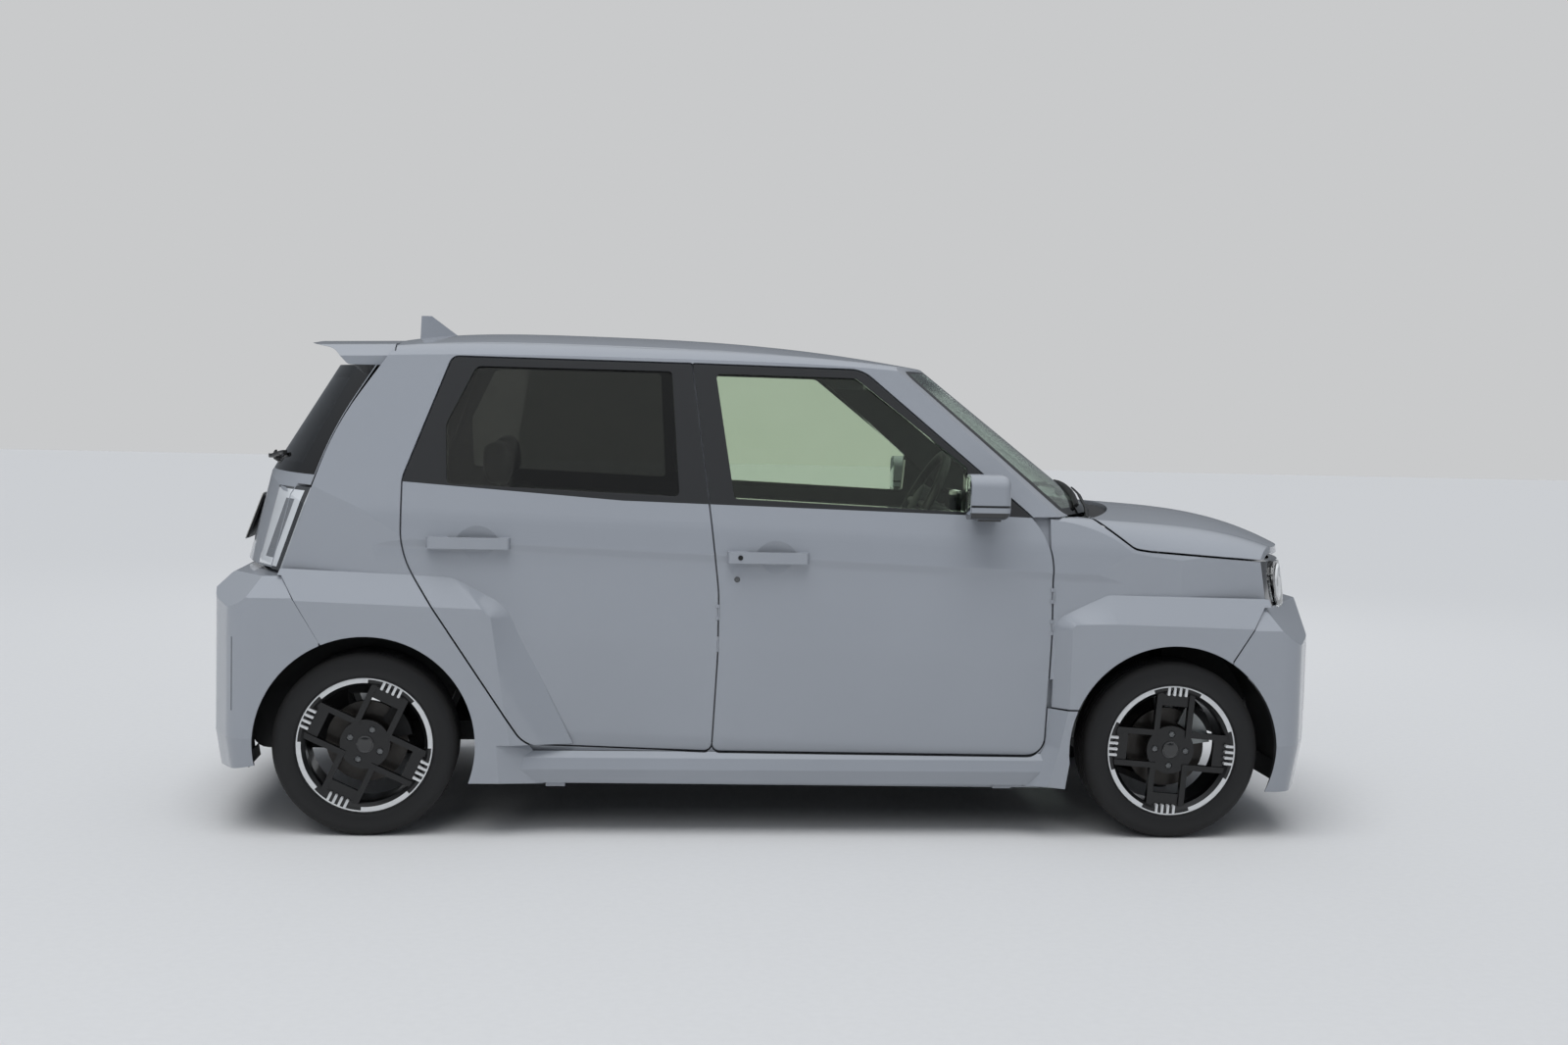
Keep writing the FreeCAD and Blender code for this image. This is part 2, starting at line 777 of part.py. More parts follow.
def door_knuckles(door):
    """The moving halves: knuckles above and below each fixed one, on tabs from the door's edge."""
    halves = []
    axis_x = DOOR_HINGE_X[door]
    for z in DOOR_HINGE_Z[door]:
        for side in (-1, 1):
            near = z + side * (DOOR_KNUCKLE_L / 2 + SEAT_GAP)
            far = near + side * DOOR_KNUCKLE_L / 2
            z_from, z_to = sorted((near, far))
            halves.append(Part.makeCylinder(DOOR_KNUCKLE_R, z_to - z_from, V(axis_x, -DOOR_HINGE_Y, z_from)))
            halves.append(block(axis_x - 8, axis_x, -DOOR_HINGE_Y, -DOOR_HINGE_Y + 9, z_from, z_to))
    return halves


def lid_knuckles(axis, middle_y, radius, facing, moving):
    """Hinge knuckles of a lid on an axis across the car, with tabs towards facing."""
    halves = []
    for side in (-1, 1):
        if moving:
            inner = KNUCKLE_L / 2 + SEAT_GAP
            ranges = [(-inner - KNUCKLE_L, -inner), (inner, inner + KNUCKLE_L)]
        else:
            ranges = [(-KNUCKLE_L / 2, KNUCKLE_L / 2)]
        for low, high in ranges:
            y_from, y_to = sorted((side * (middle_y + low), side * (middle_y + high)))
            halves.append(Part.makeCylinder(radius, y_to - y_from, V(axis[0], y_from, axis[1]), V(0, 1, 0)))
            x_from, x_to = sorted((axis[0], axis[0] + facing * (radius + 20)))
            halves.append(block(x_from, x_to, y_from, y_to, axis[1] - radius - 5, axis[1]))
    return halves


def door_and_glass(shut_line, window, wing):
    """A right door as thick as the real one, its window cut, and the pane that fills it."""
    leaf = inset(shut_line, GAP / 2)
    core = inset(shut_line, FLANGE)
    whole = side_plate(leaf, -1000, -300)
    panel = skin_outer.common(whole).cut(cabin_sides)
    rebate = skin_back.common(whole.cut(side_plate(core, -1000, -300)))
    panel = panel.cut(rebate)
    if wing is not None:
        panel = panel.fuse(wing.common(whole))
    panel = panel.cut(side_plate(window, -1000, -300))
    pane = skin(GLASS_DEPTH).cut(skin(GLASS_DEPTH + GLASS_T))
    pane = pane.common(side_plate(inset(window, -GLASS_EDGE), -1000, -300))
    return panel.cut(pane), pane


def bow(radius, half_width):
    """How far an arc falls back from its middle at a half width."""
    return radius - math.sqrt(radius ** 2 - half_width ** 2)


def handle(middle_x, middle_z):
    """A right door's pull handle: a bar on two feet, clear of the skin between them."""
    face_y = -SKIN_Y - HANDLE_OUT
    half = HANDLE_L / 2
    plan = (
        (middle_x - half, -SKIN_Y + 6, 0.0),
        (middle_x - half + 5, face_y + 4, 8.0),
        (middle_x - 20, face_y, 900.0),
        (middle_x + half - 5, face_y + 6, 8.0),
        (middle_x + half, -SKIN_Y + 6, 0.0),
    )
    bar = deck_plate(tuple(reversed(plan)), middle_z - HANDLE_H / 2, middle_z + HANDLE_H / 2)
    finger_room = block(middle_x - half + HANDLE_FOOT, middle_x + half - HANDLE_FOOT / 2,
                        face_y + HANDLE_T, -SKIN_Y + 30, middle_z - HANDLE_H, middle_z + HANDLE_H)
    return bar.cut(finger_room)


def handle_scoop(middle_x, middle_z):
    """The bowl in the door skin behind a handle."""
    radius = (SCOOP_R ** 2 + SCOOP_DEPTH ** 2) / (2 * SCOOP_DEPTH)
    centre = V(middle_x + SCOOP_AHEAD, -SKIN_Y - radius + SCOOP_DEPTH, middle_z)
    return Part.makeSphere(radius, centre)


HOOD_HINGE = (HOOD_REAR_X - bow(HOOD_REAR_R, HOOD_HINGE_Y) - HOOD_HINGE_BEHIND, HOOD_HINGE_Z)

os.makedirs("parts", exist_ok=True)

skin_outer = skin(0.0)
skin_back = skin(DOOR_SKIN_T)
skin_flange = skin(DOOR_SKIN_T + GAP)
skin_fender = skin(FENDER_T)
cabin_sides = section_bar(CABIN_SECTION)
right_half = block(-2400, 2400, -1000, 0, -100, 1900)
roof_outer = roof_space(0.0)
roof_inner = roof_space(ROOF_T)
above_roof = block(ROOF_STATIONS[0][0], ROOF_STATIONS[-1][0], -800, 800, 1400, 1800).cut(roof_outer)
screen_outer = bowed_wall(SCREEN_TOP, SCREEN_FOOT, SCREEN_R, 1, 0.0)
face_outer = bowed_wall(FACE_TOP, FACE_FOOT, FACE_R, 1, 0.0)
tail_outer = tail_space(0.0)
hood_outer = hood_space(0.0)
hood_inner = hood_space(HOOD_T)

front_flare = flare(FRONT_FLARE_BASE, FRONT_FLARE_FACE)
rear_flare = flare(REAR_FLARE_BASE, REAR_FLARE_FACE)
front_arch = arch_space(FRONT_AXLE_X, HOUSE_FRONT_Y)
rear_arch = arch_space(REAR_AXLE_X, HOUSE_REAR_Y)
rear_flare = rear_flare.cut(rear_arch)

front_door, front_glass = door_and_glass(FRONT_DOOR, FRONT_WINDOW, None)
rear_door, rear_glass = door_and_glass(REAR_DOOR, REAR_WINDOW, rear_flare)
for door, name, shape in ((0, "front", front_door), (1, "rear", rear_door)):
    shape = shape.cut(handle_scoop(*HANDLE[door])).fuse(handle(*HANDLE[door]))
    shape = fused([shape] + door_knuckles(door))
    write("door_" + name + "_right", shape)
    write("door_" + name + "_left", mirrored(shape))
for name, shape in (("front", front_glass), ("rear", rear_glass)):
    write("glass_" + name + "_right", shape)
    write("glass_" + name + "_left", mirrored(shape))


# Body sides: pillars, roof rail, sill and rear quarter
def door_openings():
    """What the doors leave free in the right body side: a mouth and a narrower frame."""
    spaces = []
    for shut_line in (FRONT_DOOR, REAR_DOOR):
        mouth = side_plate(inset(shut_line, -GAP / 2), -1000, -200)
        spaces.append(mouth.cut(skin_flange))
        spaces.append(side_plate(inset(shut_line, BODY_FLANGE), -1000, -200))
    return spaces


def body_side():
    wall = skin_outer.common(right_half).cut(cabin_sides)
    wall = wall.common(side_plate(SIDE_ZONE, -1000, 0)).common(screen_outer).cut(above_roof)
    x_from, x_to, z_from, z_to = HINGE_PILLAR
    inner = block(x_from, x_to, -1000, 0, z_from, z_to).common(skin_flange)
    outer = block(x_to - FENDER_SEAT, x_to, -1000, 0, z_from, z_to).common(skin_fender)
    pillar = inner.fuse(outer).cut(cabin_sides)
    sill = front_plate([(-y, z, r) for y, z, r in SILL_SECTION], SILL_FROM_X, SILL_TO_X)
    ends = [flare(SILL_FRONT_BASE, SILL_FRONT_FACE), flare(SILL_REAR_BASE, SILL_REAR_FACE)]
    quarter_flare = rear_flare.common(side_plate(SIDE_ZONE, -1000, 0))
    half_l, half_w = JACK_PAD
    pads = [block(x - half_l, x + half_l, -JACK_Y - half_w, -JACK_Y + half_w, JACK_Z, SILL_SECTION[0][1] + 12)
            for x in JACK_X]
    wall = fused([wall, pillar, sill, quarter_flare] + ends + pads)
    for space in door_openings():
        wall = wall.cut(space)
    liner = wheel_hole(FRONT_AXLE_X, HOUSE_R + HOUSE_T, -FLARE_Y + ARCH_LIP, -HOUSE_FRONT_Y)
    wall = wall.cut(front_arch).cut(liner).cut(rear_arch).cut(block(-1300, 1000, -ROOF_PANEL_Y - 1, 0, 1400, 1700))
    wall = wall.cut(screen_space)
    x_from = TAILGATE_HINGE[0] - 300
    wall = wall.cut(block(x_from, ROOF_REAR_X, -SPOILER_Y - GAP, 0, SPOILER[0][1] - GAP, 1700))
    return wall.fuse(leaf(1, DOOR_HINGE_X[1] + LEAF_T / 2, SKIN_Y - 50))


screen_cut = front_plate(SCREEN_OUTLINE, 300, 1300)
screen_inside = bowed_wall(SCREEN_TOP, SCREEN_FOOT, SCREEN_R, 1, SCREEN_T + SEAT_GAP)
screen_space = front_plate(inset(SCREEN_OUTLINE, -SEAT_GAP), 300, 1300).cut(screen_inside)
screen_pane = screen_outer.cut(bowed_wall(SCREEN_TOP, SCREEN_FOOT, SCREEN_R, 1, SCREEN_T)).common(screen_cut)
side_right = body_side()
write("body_side_right", side_right)
write("body_side_left", mirrored(side_right))
write("windscreen", screen_pane)

# Roof with its fin
roof = roof_outer.cut(roof_inner)
roof = roof.common(block(ROOF_REAR_X, 700, -ROOF_PANEL_Y, ROOF_PANEL_Y, 1300, 1700)).common(screen_outer)
fin_foot = outline(FIN_FOOT, lambda a, b: V(a, b, FIN_Z - 30))
fin_top = outline(FIN_TOP, lambda a, b: V(a, b, FIN_TOP_Z))
fin = Part.makeLoft([fin_foot, fin_top], True, True)
roof = roof.cut(screen_space).fuse(fin)
roof = fused([roof] + lid_knuckles(TAILGATE_HINGE, TAILGATE_HINGE_Y, TAILGATE_KNUCKLE_R, 1, False))
write("roof", roof)

# Hood, fenders and cowl
hood_edge = Part.makeCylinder(HOOD_REAR_R, 600, V(HOOD_REAR_X - HOOD_REAR_R, 0, 700))
hood = hood_outer.cut(hood_inner).common(side_plate(inset(HOOD_ZONE, GAP / 2), -900, 900))
hood = hood.cut(hood_edge).common(skin_outer).common(face_outer)
hood = fused([hood] + lid_knuckles(HOOD_HINGE, HOOD_HINGE_Y, HOOD_KNUCKLE_R, 1, True))
write("hood", hood)

fender = skin_outer.common(hood_outer).cut(skin_fender.common(hood_inner))
fender = fender.common(right_half).common(side_plate(FENDER_ZONE, -1000, 0)).common(face_outer)
fender_flare = front_flare.common(side_plate(FENDER_ZONE, -1000, 0))
fender = fender.fuse(fender_flare).cut(front_arch)
fender = fender.cut(side_plate(inset(FRONT_DOOR, -GAP / 2), -1000, 0)).cut(side_right)
fender = fender.cut(block(800, HOOD_REAR_X, -COWL_Y, 0, 800, 1100))
fender = fender.fuse(leaf(0, DOOR_HINGE_X[0] + GAP, SKIN_Y - FENDER_T + 3))
write("fender_right", fender)
write("fender_left", mirrored(fender))


def tapered_hull(plan, turn_x, inward):
    """A bumper seen from above, run up and down, its lower edge drawn in."""
    right = [(x, -y, r) for x, y, r in plan]
    left = [(x, y, r) for x, y, r in reversed(plan)]
    points = tuple(right + left)
    if turn_x < 0:
        points = tuple(reversed(points))
    points = inset(points, inward)
    upper = deck_plate(points, 300, 900)
    low = outline(inset(points, 26.0), lambda a, b: V(a, b, 140))
    high = outline(points, lambda a, b: V(a, b, 300))
    return upper.fuse(Part.makeLoft([low, high], True, True))


def bumper(plan, zone, facing, flare_crest_z, flare_top_z, ledge):
    """A bumper skin: plan and side outlines, bevelled like the wheel arches beside it."""
    shell = tapered_hull(plan, facing, 0.0).common(side_plate(zone, -900, 900))
    inner = tapered_hull(plan, facing, BUMPER_T)
    ends = [(x, z - BUMPER_T, r) for x, z, r in zone if abs(x) > BUMPER_END_X]
    near = facing * (BUMPER_END_X - 250.0)
    low_zone = side_plate([(near, ends[0][1], 0.0)] + ends + [(near, ends[-1][1], 0.0)], -900, 900)
    rise = flare_top_z - flare_crest_z
    side_run = FLARE_Y - SKIN_Y + 22.0
    planes = []
    for side in (-1, 1):
        planes.append((V(0, side * FLARE_Y, flare_crest_z), V(0, side * rise, side_run)))
        point, across_run, up_run = ledge
        planes.append((V(point.x, side * point.y, point.z), V(across_run.x, side * across_run.y, up_run)))
    for point, normal in planes:
        direction = V(normal.x, normal.y, normal.z)
        direction.normalize()
        shell = shell.cut(half_space(point, direction))
        inner = inner.cut(half_space(point - direction * BUMPER_T, direction))
    arch = front_arch if facing > 0 else rear_arch
    return shell.cut(inner.common(low_zone)).cut(arch).cut(mirrored(arch)), shell


front_bumper, front_bumper_space = bumper(FRONT_BUMPER_PLAN, FRONT_BUMPER_ZONE, 1, 668.0, 762.0,
                                          (V(1709, 610, 655), V(0.62, 0.36, 0), 0.70))
behind_face = bowed_wall(FACE_TOP, FACE_FOOT, FACE_R, 1, LEDGE_DEPTH)
ledge_top = FRONT_BUMPER_ZONE[-5][1]
ledge_hole = block(1400, 1900, -LEDGE_HALF, LEDGE_HALF, ledge_top - BUMPER_T - 1, ledge_top + 10)
front_bumper = front_bumper.cut(ledge_hole.common(behind_face))
half_w, z_from, z_to = GRILLE
front_bumper = front_bumper.cut(block(1600, 1900, -half_w, half_w, z_from, z_to))
half_w, z_from, z_to = PLATE_SEAT
front_bumper = front_bumper.cut(block(NOSE_X - PLATE_DEPTH, 1900, -half_w, half_w, z_from, z_to))
half_w, z_from, z_to = GRILLE
write("front_bumper", front_bumper)
rear_bumper, rear_bumper_space = bumper(REAR_BUMPER_PLAN, REAR_BUMPER_ZONE, -1, 730.0, 818.0,
                                        (V(-1727, 640, 715), V(-0.62, 0.36, 0), 0.70))
write("rear_bumper", rear_bumper)

# Front face between the lamps, with the lower grille
lamp_turn = math.radians(HEADLAMP_YAW_DEG)


def lamp_tube(radius, back, ahead):
    """A round space along the right headlamp's own axis, about the face skin."""
    direction = V(math.cos(lamp_turn), -math.sin(lamp_turn), 0)
    height = (FACE_TOP[1] - HEADLAMP_Z) / (FACE_TOP[1] - FACE_FOOT[1])
    middle_x = FACE_TOP[0] + height * (FACE_FOOT[0] - FACE_TOP[0])
    drop = FACE_R - math.sqrt(FACE_R ** 2 - HEADLAMP_Y ** 2)
    centre = V(middle_x - drop, -HEADLAMP_Y, HEADLAMP_Z)
    return Part.makeCylinder(radius, back + ahead, centre - direction * back, direction)


face_wall = face_outer.cut(bowed_wall(FACE_TOP, FACE_FOOT, FACE_R, 1, FACE_T))
panel = face_wall.common(front_plate(FACE_OUTLINE, 1400, 1900)).common(skin_outer)
hood_gap = side_plate(inset(HOOD_ZONE, -GAP / 2), -900, 900)
fender_space = side_plate(FENDER_ZONE, -900, 900)
panel = panel.cut(hood_gap).cut(fender_space).cut(front_bumper_space)
lamp_hole = lamp_tube(HEADLAMP_R + SEAT_GAP, 90, 60)
panel = panel.cut(lamp_hole).cut(mirrored(lamp_hole))
bar_pitch = (z_to - z_from) / (GRILLE_BARS + 1)
bars = [block(1700, 1774, -half_w, half_w, z_from + bar_pitch * (i + 1) - GRILLE_BAR_T / 2,
              z_from + bar_pitch * (i + 1) + GRILLE_BAR_T / 2) for i in range(GRILLE_BARS)]
bars += [block(1690, 1704, -half_w, half_w, z_from, z_to)]
grille = fused(bars)
write("front_panel", Part.makeCompound([clean(panel), clean(grille)]))
lamp = lamp_tube(HEADLAMP_R, 60, 40).common(bowed_wall(FACE_TOP, FACE_FOOT, FACE_R, 1, -10.0))
lamp = lamp.cut(hood_gap).cut(front_bumper_space)
write("headlamps", Part.makeCompound([lamp, mirrored(lamp)]))

# Tail lamps, tailgate, its glass, spoiler and wiper
corner = skin_outer.common(tail_outer)
lamp = corner.cut(skin(TAIL_LAMP_T).common(tail_space(TAIL_LAMP_T)))
lamp = lamp.common(side_plate(TAIL_LAMP, -1000, -TAIL_LAMP_INNER_Y))
write("tail_lamps", Part.makeCompound([clean(lamp), clean(mirrored(lamp))]))

tail_wall = tail_outer.cut(tail_space(TAILGATE_T)).common(skin_outer)
upper = tail_wall.common(side_plate(TAILGATE_EDGE, -900, 900))
inner_y = TAIL_LAMP_INNER_Y - GAP
lower = tail_wall.common(block(-1850, -1300, -inner_y, inner_y, TAILGATE_FOOT_Z, TAILGATE_WAIST_Z))
half_w, z_from, z_to = TAILGATE_WINDOW
hole = block(-1850, -1200, -half_w, half_w, z_from, z_to)
glass_zone = side_plate(TAILGATE_GLASS_EDGE, -900, 900).common(skin_outer)
glass_outside = bowed_wall(TAIL_TOP, TAIL_WAIST, TAIL_R, -1, 0.0)
glass_inside = bowed_wall(TAIL_TOP, TAIL_WAIST, TAIL_R, -1, GLASS_T + 1)
tail_glass = glass_zone.common(glass_outside).cut(glass_inside)
glass_seat = bowed_wall(TAIL_TOP, TAIL_WAIST, TAIL_R, -1, GLASS_T + 1 + SEAT_GAP)
glass_space = side_plate(TAILGATE_GLASS_EDGE, -900, 900).cut(glass_seat)
tailgate = upper.fuse(lower).cut(hole).cut(glass_space)
write("tailgate", tailgate)
write("tailgate_glass", tail_glass)
spoiler = side_plate(SPOILER, -SPOILER_Y, SPOILER_Y)
crown = front_plate(SPOILER_CROWN, -1600, -1100)
crown.rotate(V(-1212, 0, SPOILER_ROOT_Z), V(0, 1, 0), SPOILER_FALL_DEG)
spoiler = spoiler.common(crown)
spoiler = fused([spoiler] + lid_knuckles(TAILGATE_HINGE, TAILGATE_HINGE_Y, TAILGATE_KNUCKLE_R, -1, True))
write("spoiler", spoiler)

# Cowl and wipers
cowl_y = COWL_Y - SEAT_GAP
cowl = hood_space(COWL_DROP).common(block(880, 1200, -cowl_y, cowl_y, 975, 1100))
cowl = cowl.cut(screen_outer).common(Part.makeCylinder(HOOD_REAR_R - GAP, 600, V(HOOD_REAR_X - HOOD_REAR_R, 0, 700)))
pocket_l = 3 * KNUCKLE_L + 4
for y in (-HOOD_HINGE_Y, HOOD_HINGE_Y):
    cowl = cowl.cut(block(HOOD_HINGE[0] - 8, 1200, y - pocket_l / 2, y + pocket_l / 2, 900, 1100))
cowl = fused([cowl] + lid_knuckles(HOOD_HINGE, HOOD_HINGE_Y, HOOD_KNUCKLE_R, -1, False))
write("cowl", cowl)

# Mirrors
x_from, x_to = MIRROR_X
mirror_head = front_plate(MIRROR_SECTION, x_from, x_to)
mirror_head = mirror_head.makeFillet(24.0, [e for e in mirror_head.Edges if e.BoundBox.XMin > x_to - 1])
x_from, x_to, z_from, z_to = MIRROR_FOOT
foot = block(x_from, x_to, -800, -690, z_from, z_to).cut(skin_outer)
mirror = mirror_head.fuse(foot)
write("mirror_right", mirror)
write("mirror_left", mirrored(mirror))


# Floor pan: floor, sill insides, firewall, wheel houses, rails and end panels
def wheel_house(axle_x, inner_y, top_y, wall_z):
    """The inner arch over a right wheel, open below and to the outside."""
    outer = wheel_hole(axle_x, HOUSE_R + HOUSE_T, -top_y, -inner_y + HOUSE_T)
    inner = wheel_hole(axle_x, HOUSE_R, -top_y - 50, -inner_y)
    house = outer.cut(inner)
    house = house.cut(block(axle_x - 500, axle_x + 500, -900, 0, -300, AXLE_Z - 60))
    return house.cut(block(axle_x - 500, axle_x + 500, -inner_y - HOUSE_T, 0, -300, wall_z))


king_direction = V(0, KING_FOOT[0] - KING_TOP[0], KING_TOP[1] - KING_FOOT[1])
king_direction.normalize()


def king_point(z):
    """The point of the right steering axis at a height."""
    share = (z - KING_FOOT[1]) / (KING_TOP[1] - KING_FOOT[1])
    return V(FRONT_AXLE_X, -KING_FOOT[0] + share * (KING_FOOT[0] - KING_TOP[0]), z)


def without_arches(shape):
    for arch in (front_arch, rear_arch):
        shape = shape.cut(arch).cut(mirrored(arch))
    return shape


def floor_pan():
    floor = block(FLOOR_FROM_X, FIREWALL_X, -800, 800, FLOOR_Z, FLOOR_Z + FLOOR_T)
    pan = [floor.common(cabin_sides)]
    pan.append(block(FIREWALL_X - FLOOR_T, FIREWALL_X, -INNER_Y, INNER_Y, FLOOR_Z, FIREWALL_TOP_Z))
    pan.append(block(FLOOR_FROM_X - FLOOR_T, FLOOR_FROM_X, -INNER_Y, INNER_Y, FLOOR_Z, BOOT_Z + FLOOR_T))
    pan.append(block(BOOT_TO_X, FLOOR_FROM_X, -INNER_Y, INNER_Y, BOOT_Z, BOOT_Z + FLOOR_T))
    return without_arches(fused(pan))


def front_frame():
    """Front rails with their crossmembers, and the wheel houses with the spring towers."""
    pan = []
    for side in (-1, 1):
        y_from, y_to = sorted((side * RAIL_Y[0], side * RAIL_Y[1]))
        pan.append(block(FIREWALL_X - 5, 1690, y_from, y_to, RAIL_Z[0], RAIL_Z[1]))
        pan.append(block(FIREWALL_X - 5, FIREWALL_X + 55, y_from, y_to, FLOOR_Z, RAIL_Z[1]))
        pan.append(block(1600, 1640, y_from, y_to, RAIL_Z[1] - 5, 845))
    pan.append(block(1650, 1690, -560, 560, RAIL_Z[0] - 10, RAIL_Z[1] + 10))
    pan.append(block(1600, 1640, -430, 430, 820, 845))
    front_house = wheel_house(FRONT_AXLE_X, HOUSE_FRONT_Y, LINER_Y, RAIL_Z[0]).cut(fender).cut(side_right)
    front_house = front_house.cut(front_bumper)
    tower_foot = king_point(560)
    tower = rod(tower_foot, king_point(TOWER_Z), TOWER_R)
    bore = rod(king_point(540), king_point(TOWER_Z - HOUSE_T), TOWER_R - HOUSE_T)
    front_house = front_house.fuse(tower.cut(wheel_hole(FRONT_AXLE_X, HOUSE_R, -900, -HOUSE_FRONT_Y))).cut(bore)
    return without_arches(fused(pan + [front_house, mirrored(front_house)]))


def rear_frame():
    """The rear wheel houses and the panel across the tail."""
    end_panel = block(BOOT_TO_X - FLOOR_T, BOOT_TO_X, -580, 580, BOOT_Z - 120, END_PANEL_Z)
    rear_house = wheel_house(REAR_AXLE_X, HOUSE_REAR_Y, HOUSE_OUTER_REAR_Y, BOOT_Z).common(cabin_sides)
    tail_house = wheel_house(REAR_AXLE_X, HOUSE_REAR_Y, LINER_Y, BOOT_Z)
    tail_house = tail_house.common(block(-1700, SIDE_SEAM_X, -900, 0, 0, 900)).cut(side_right).cut(rear_bumper)
    rear_house = rear_house.fuse(tail_house)
    return without_arches(fused([end_panel, rear_house, mirrored(rear_house)]))


pan = floor_pan()
write("floor_pan", pan)
write("front_frame", front_frame().cut(pan))
write("rear_frame", rear_frame().cut(pan))


# Battery and drive unit
x_from, x_to, half_y, z_from = BATTERY
write("battery_pack", block(x_from, x_to, -half_y, half_y, z_from, FLOOR_Z))
x_from, x_to, half_y, z_from, z_to = DRIVE_UNIT
write("drive_unit", block(x_from, x_to, -half_y, half_y, z_from, z_to))


# Front suspension: subframe, lower arms, springs and top mounts
def lower_arm():
    foot = KING_FOOT[0]
    plan = (
        (FRONT_AXLE_X - 110, -250.0, 0.0),
        (FRONT_AXLE_X - 26, -foot, 26.0),
        (FRONT_AXLE_X + 26, -foot - 26, 26.0),
        (FRONT_AXLE_X + 26, -foot + 60, 60.0),
        (FRONT_AXLE_X + 70, -250.0, 0.0),
    )
    plate = deck_plate(plan, ARM_Z, ARM_Z + ARM_T)
    pad = Part.makeCylinder(26, ARM_T, V(FRONT_AXLE_X, -foot, ARM_Z))
    return plate.fuse(pad)


x_from, x_to, half_y, z_from, z_to = SUBFRAME
beam = block(x_from, x_to, -half_y, half_y, ARM_Z + 4, z_to)
parts = [beam, rod(V(x_from - 40, -half_y - 60, z_to - 20), V(x_from - 40, half_y + 60, z_to - 20), 18),
         block(x_from - 50, x_from + 5, -60, 60, z_to - 45, z_to)]
for side in (-1, 1):
    y_from, y_to = sorted((side * RAIL_Y[0], side * (RAIL_Y[0] - 40)))
    y_low, y_high = sorted((side * RAIL_Y[0], side * RAIL_Y[1]))
    parts.append(block(x_from, x_to, y_from, y_to, z_to - 5, RAIL_Z[0] - 60))
    parts.append(block(x_from, x_to, min(y_from, y_low), max(y_to, y_high), RAIL_Z[0] - 60, RAIL_Z[0]))
mount_top = king_point(TOWER_Z - HOUSE_T)
spring = rod(king_point(600), mount_top, SPRING_R).cut(rod(king_point(590), king_point(665), STRUT_R + 4))
arm = lower_arm()
parts += [arm, mirrored(arm)]
write("front_suspension", Part.makeCompound([clean(fused(parts)), clean(spring), clean(mirrored(spring))]))


# Front knuckles with their calipers
def sector(inner_r, outer_r, from_deg, to_deg, y_from, y_to, axle_x):
    """A slice of a ring about an axle, angles up from the nose."""
    ring = wheel_hole(axle_x, outer_r, y_from, y_to).cut(wheel_hole(axle_x, inner_r, y_from - 1, y_to + 1))
    middle = math.radians((from_deg + to_deg) / 2)
    half = math.radians((to_deg - from_deg) / 2)
    far = 2 * outer_r
    corners = [V(axle_x, y_from - 1, AXLE_Z)]
    for angle in (middle - half, middle, middle + half):
        corners.append(V(axle_x + far * math.cos(angle), y_from - 1, AXLE_Z + far * math.sin(angle)))
    wedge = Part.Face(Part.makePolygon(corners + corners[:1])).extrude(V(0, y_to - y_from + 2, 0))
    return ring.common(wedge)


def caliper(axle_x, from_deg, to_deg):
    body = sector(84, DISC_R + 16, from_deg, to_deg, -DISC_Y - 18, -DISC_Y + DISC_T + 18, axle_x)
    slot = wheel_hole(axle_x, DISC_R + 4, -DISC_Y - 3, -DISC_Y + DISC_T + 3)
    bracket = sector(20, DISC_R + 16, from_deg, to_deg, -DISC_Y + DISC_T + 8, -DISC_Y + DISC_T + 24, axle_x)
    return body.cut(slot).fuse(bracket)


bearing_out = -BEARING_Y[0]
bearing_in = -BEARING_Y[1]
column = rod(king_point(ARM_Z + ARM_T + 4.1), king_point(450), 19)
tube = rod(king_point(440), king_point(655), STRUT_R)
seat = rod(king_point(588), king_point(600 - SEAT_GAP), SPRING_R - 6)
bearing = wheel_hole(FRONT_AXLE_X, BEARING_R, bearing_out, bearing_in)
knuckle = fused([column, tube, seat, bearing, caliper(FRONT_AXLE_X, 8, 66)])
write("knuckle_right", knuckle)
write("knuckle_left", mirrored(knuckle))

# Rear axle: torsion beam, trailing arms, hub bearings, springs
beam_parts = [block(-1030, -960, -500, 500, 262, 322)]
for side in (-1, 1):
    y_from, y_to = sorted((side * 490, side * 548))
    beam_parts.append(block(-1300, -870, y_from, y_to, 262, 322))
    y_from, y_to = sorted((side * 500, side * 601))
    beam_parts.append(block(-1312, -1228, y_from, y_to, 240, 322))
    beam_parts.append(rod(V(-866, side * 470, 305), V(-866, side * 550, 305), 34))
    beam_parts.append(block(-881, -851, *sorted((side * 485, side * 550)), 305, BOOT_Z))
    beam_parts.append(rod(V(-1150, side * 480, 320), V(-1150, side * 480, BOOT_Z), 50))
beam_parts.append(wheel_hole(REAR_AXLE_X, BEARING_R, bearing_out, bearing_in))
beam_parts.append(mirrored(wheel_hole(REAR_AXLE_X, BEARING_R, bearing_out, bearing_in)))
rear_caliper = caliper(REAR_AXLE_X, 10, 56)
beam_parts += [rear_caliper, mirrored(rear_caliper)]
write("rear_axle", fused(beam_parts))


# Wheels
def turned(profile, axle_x):
    """A half section (outward distance, radius) turned about the axle."""
    wire = outline(profile, lambda a, b: V(axle_x, -a, AXLE_Z + b))
    return Part.Face(wire).revolve(V(axle_x, 0, AXLE_Z), V(0, 1, 0), 360)


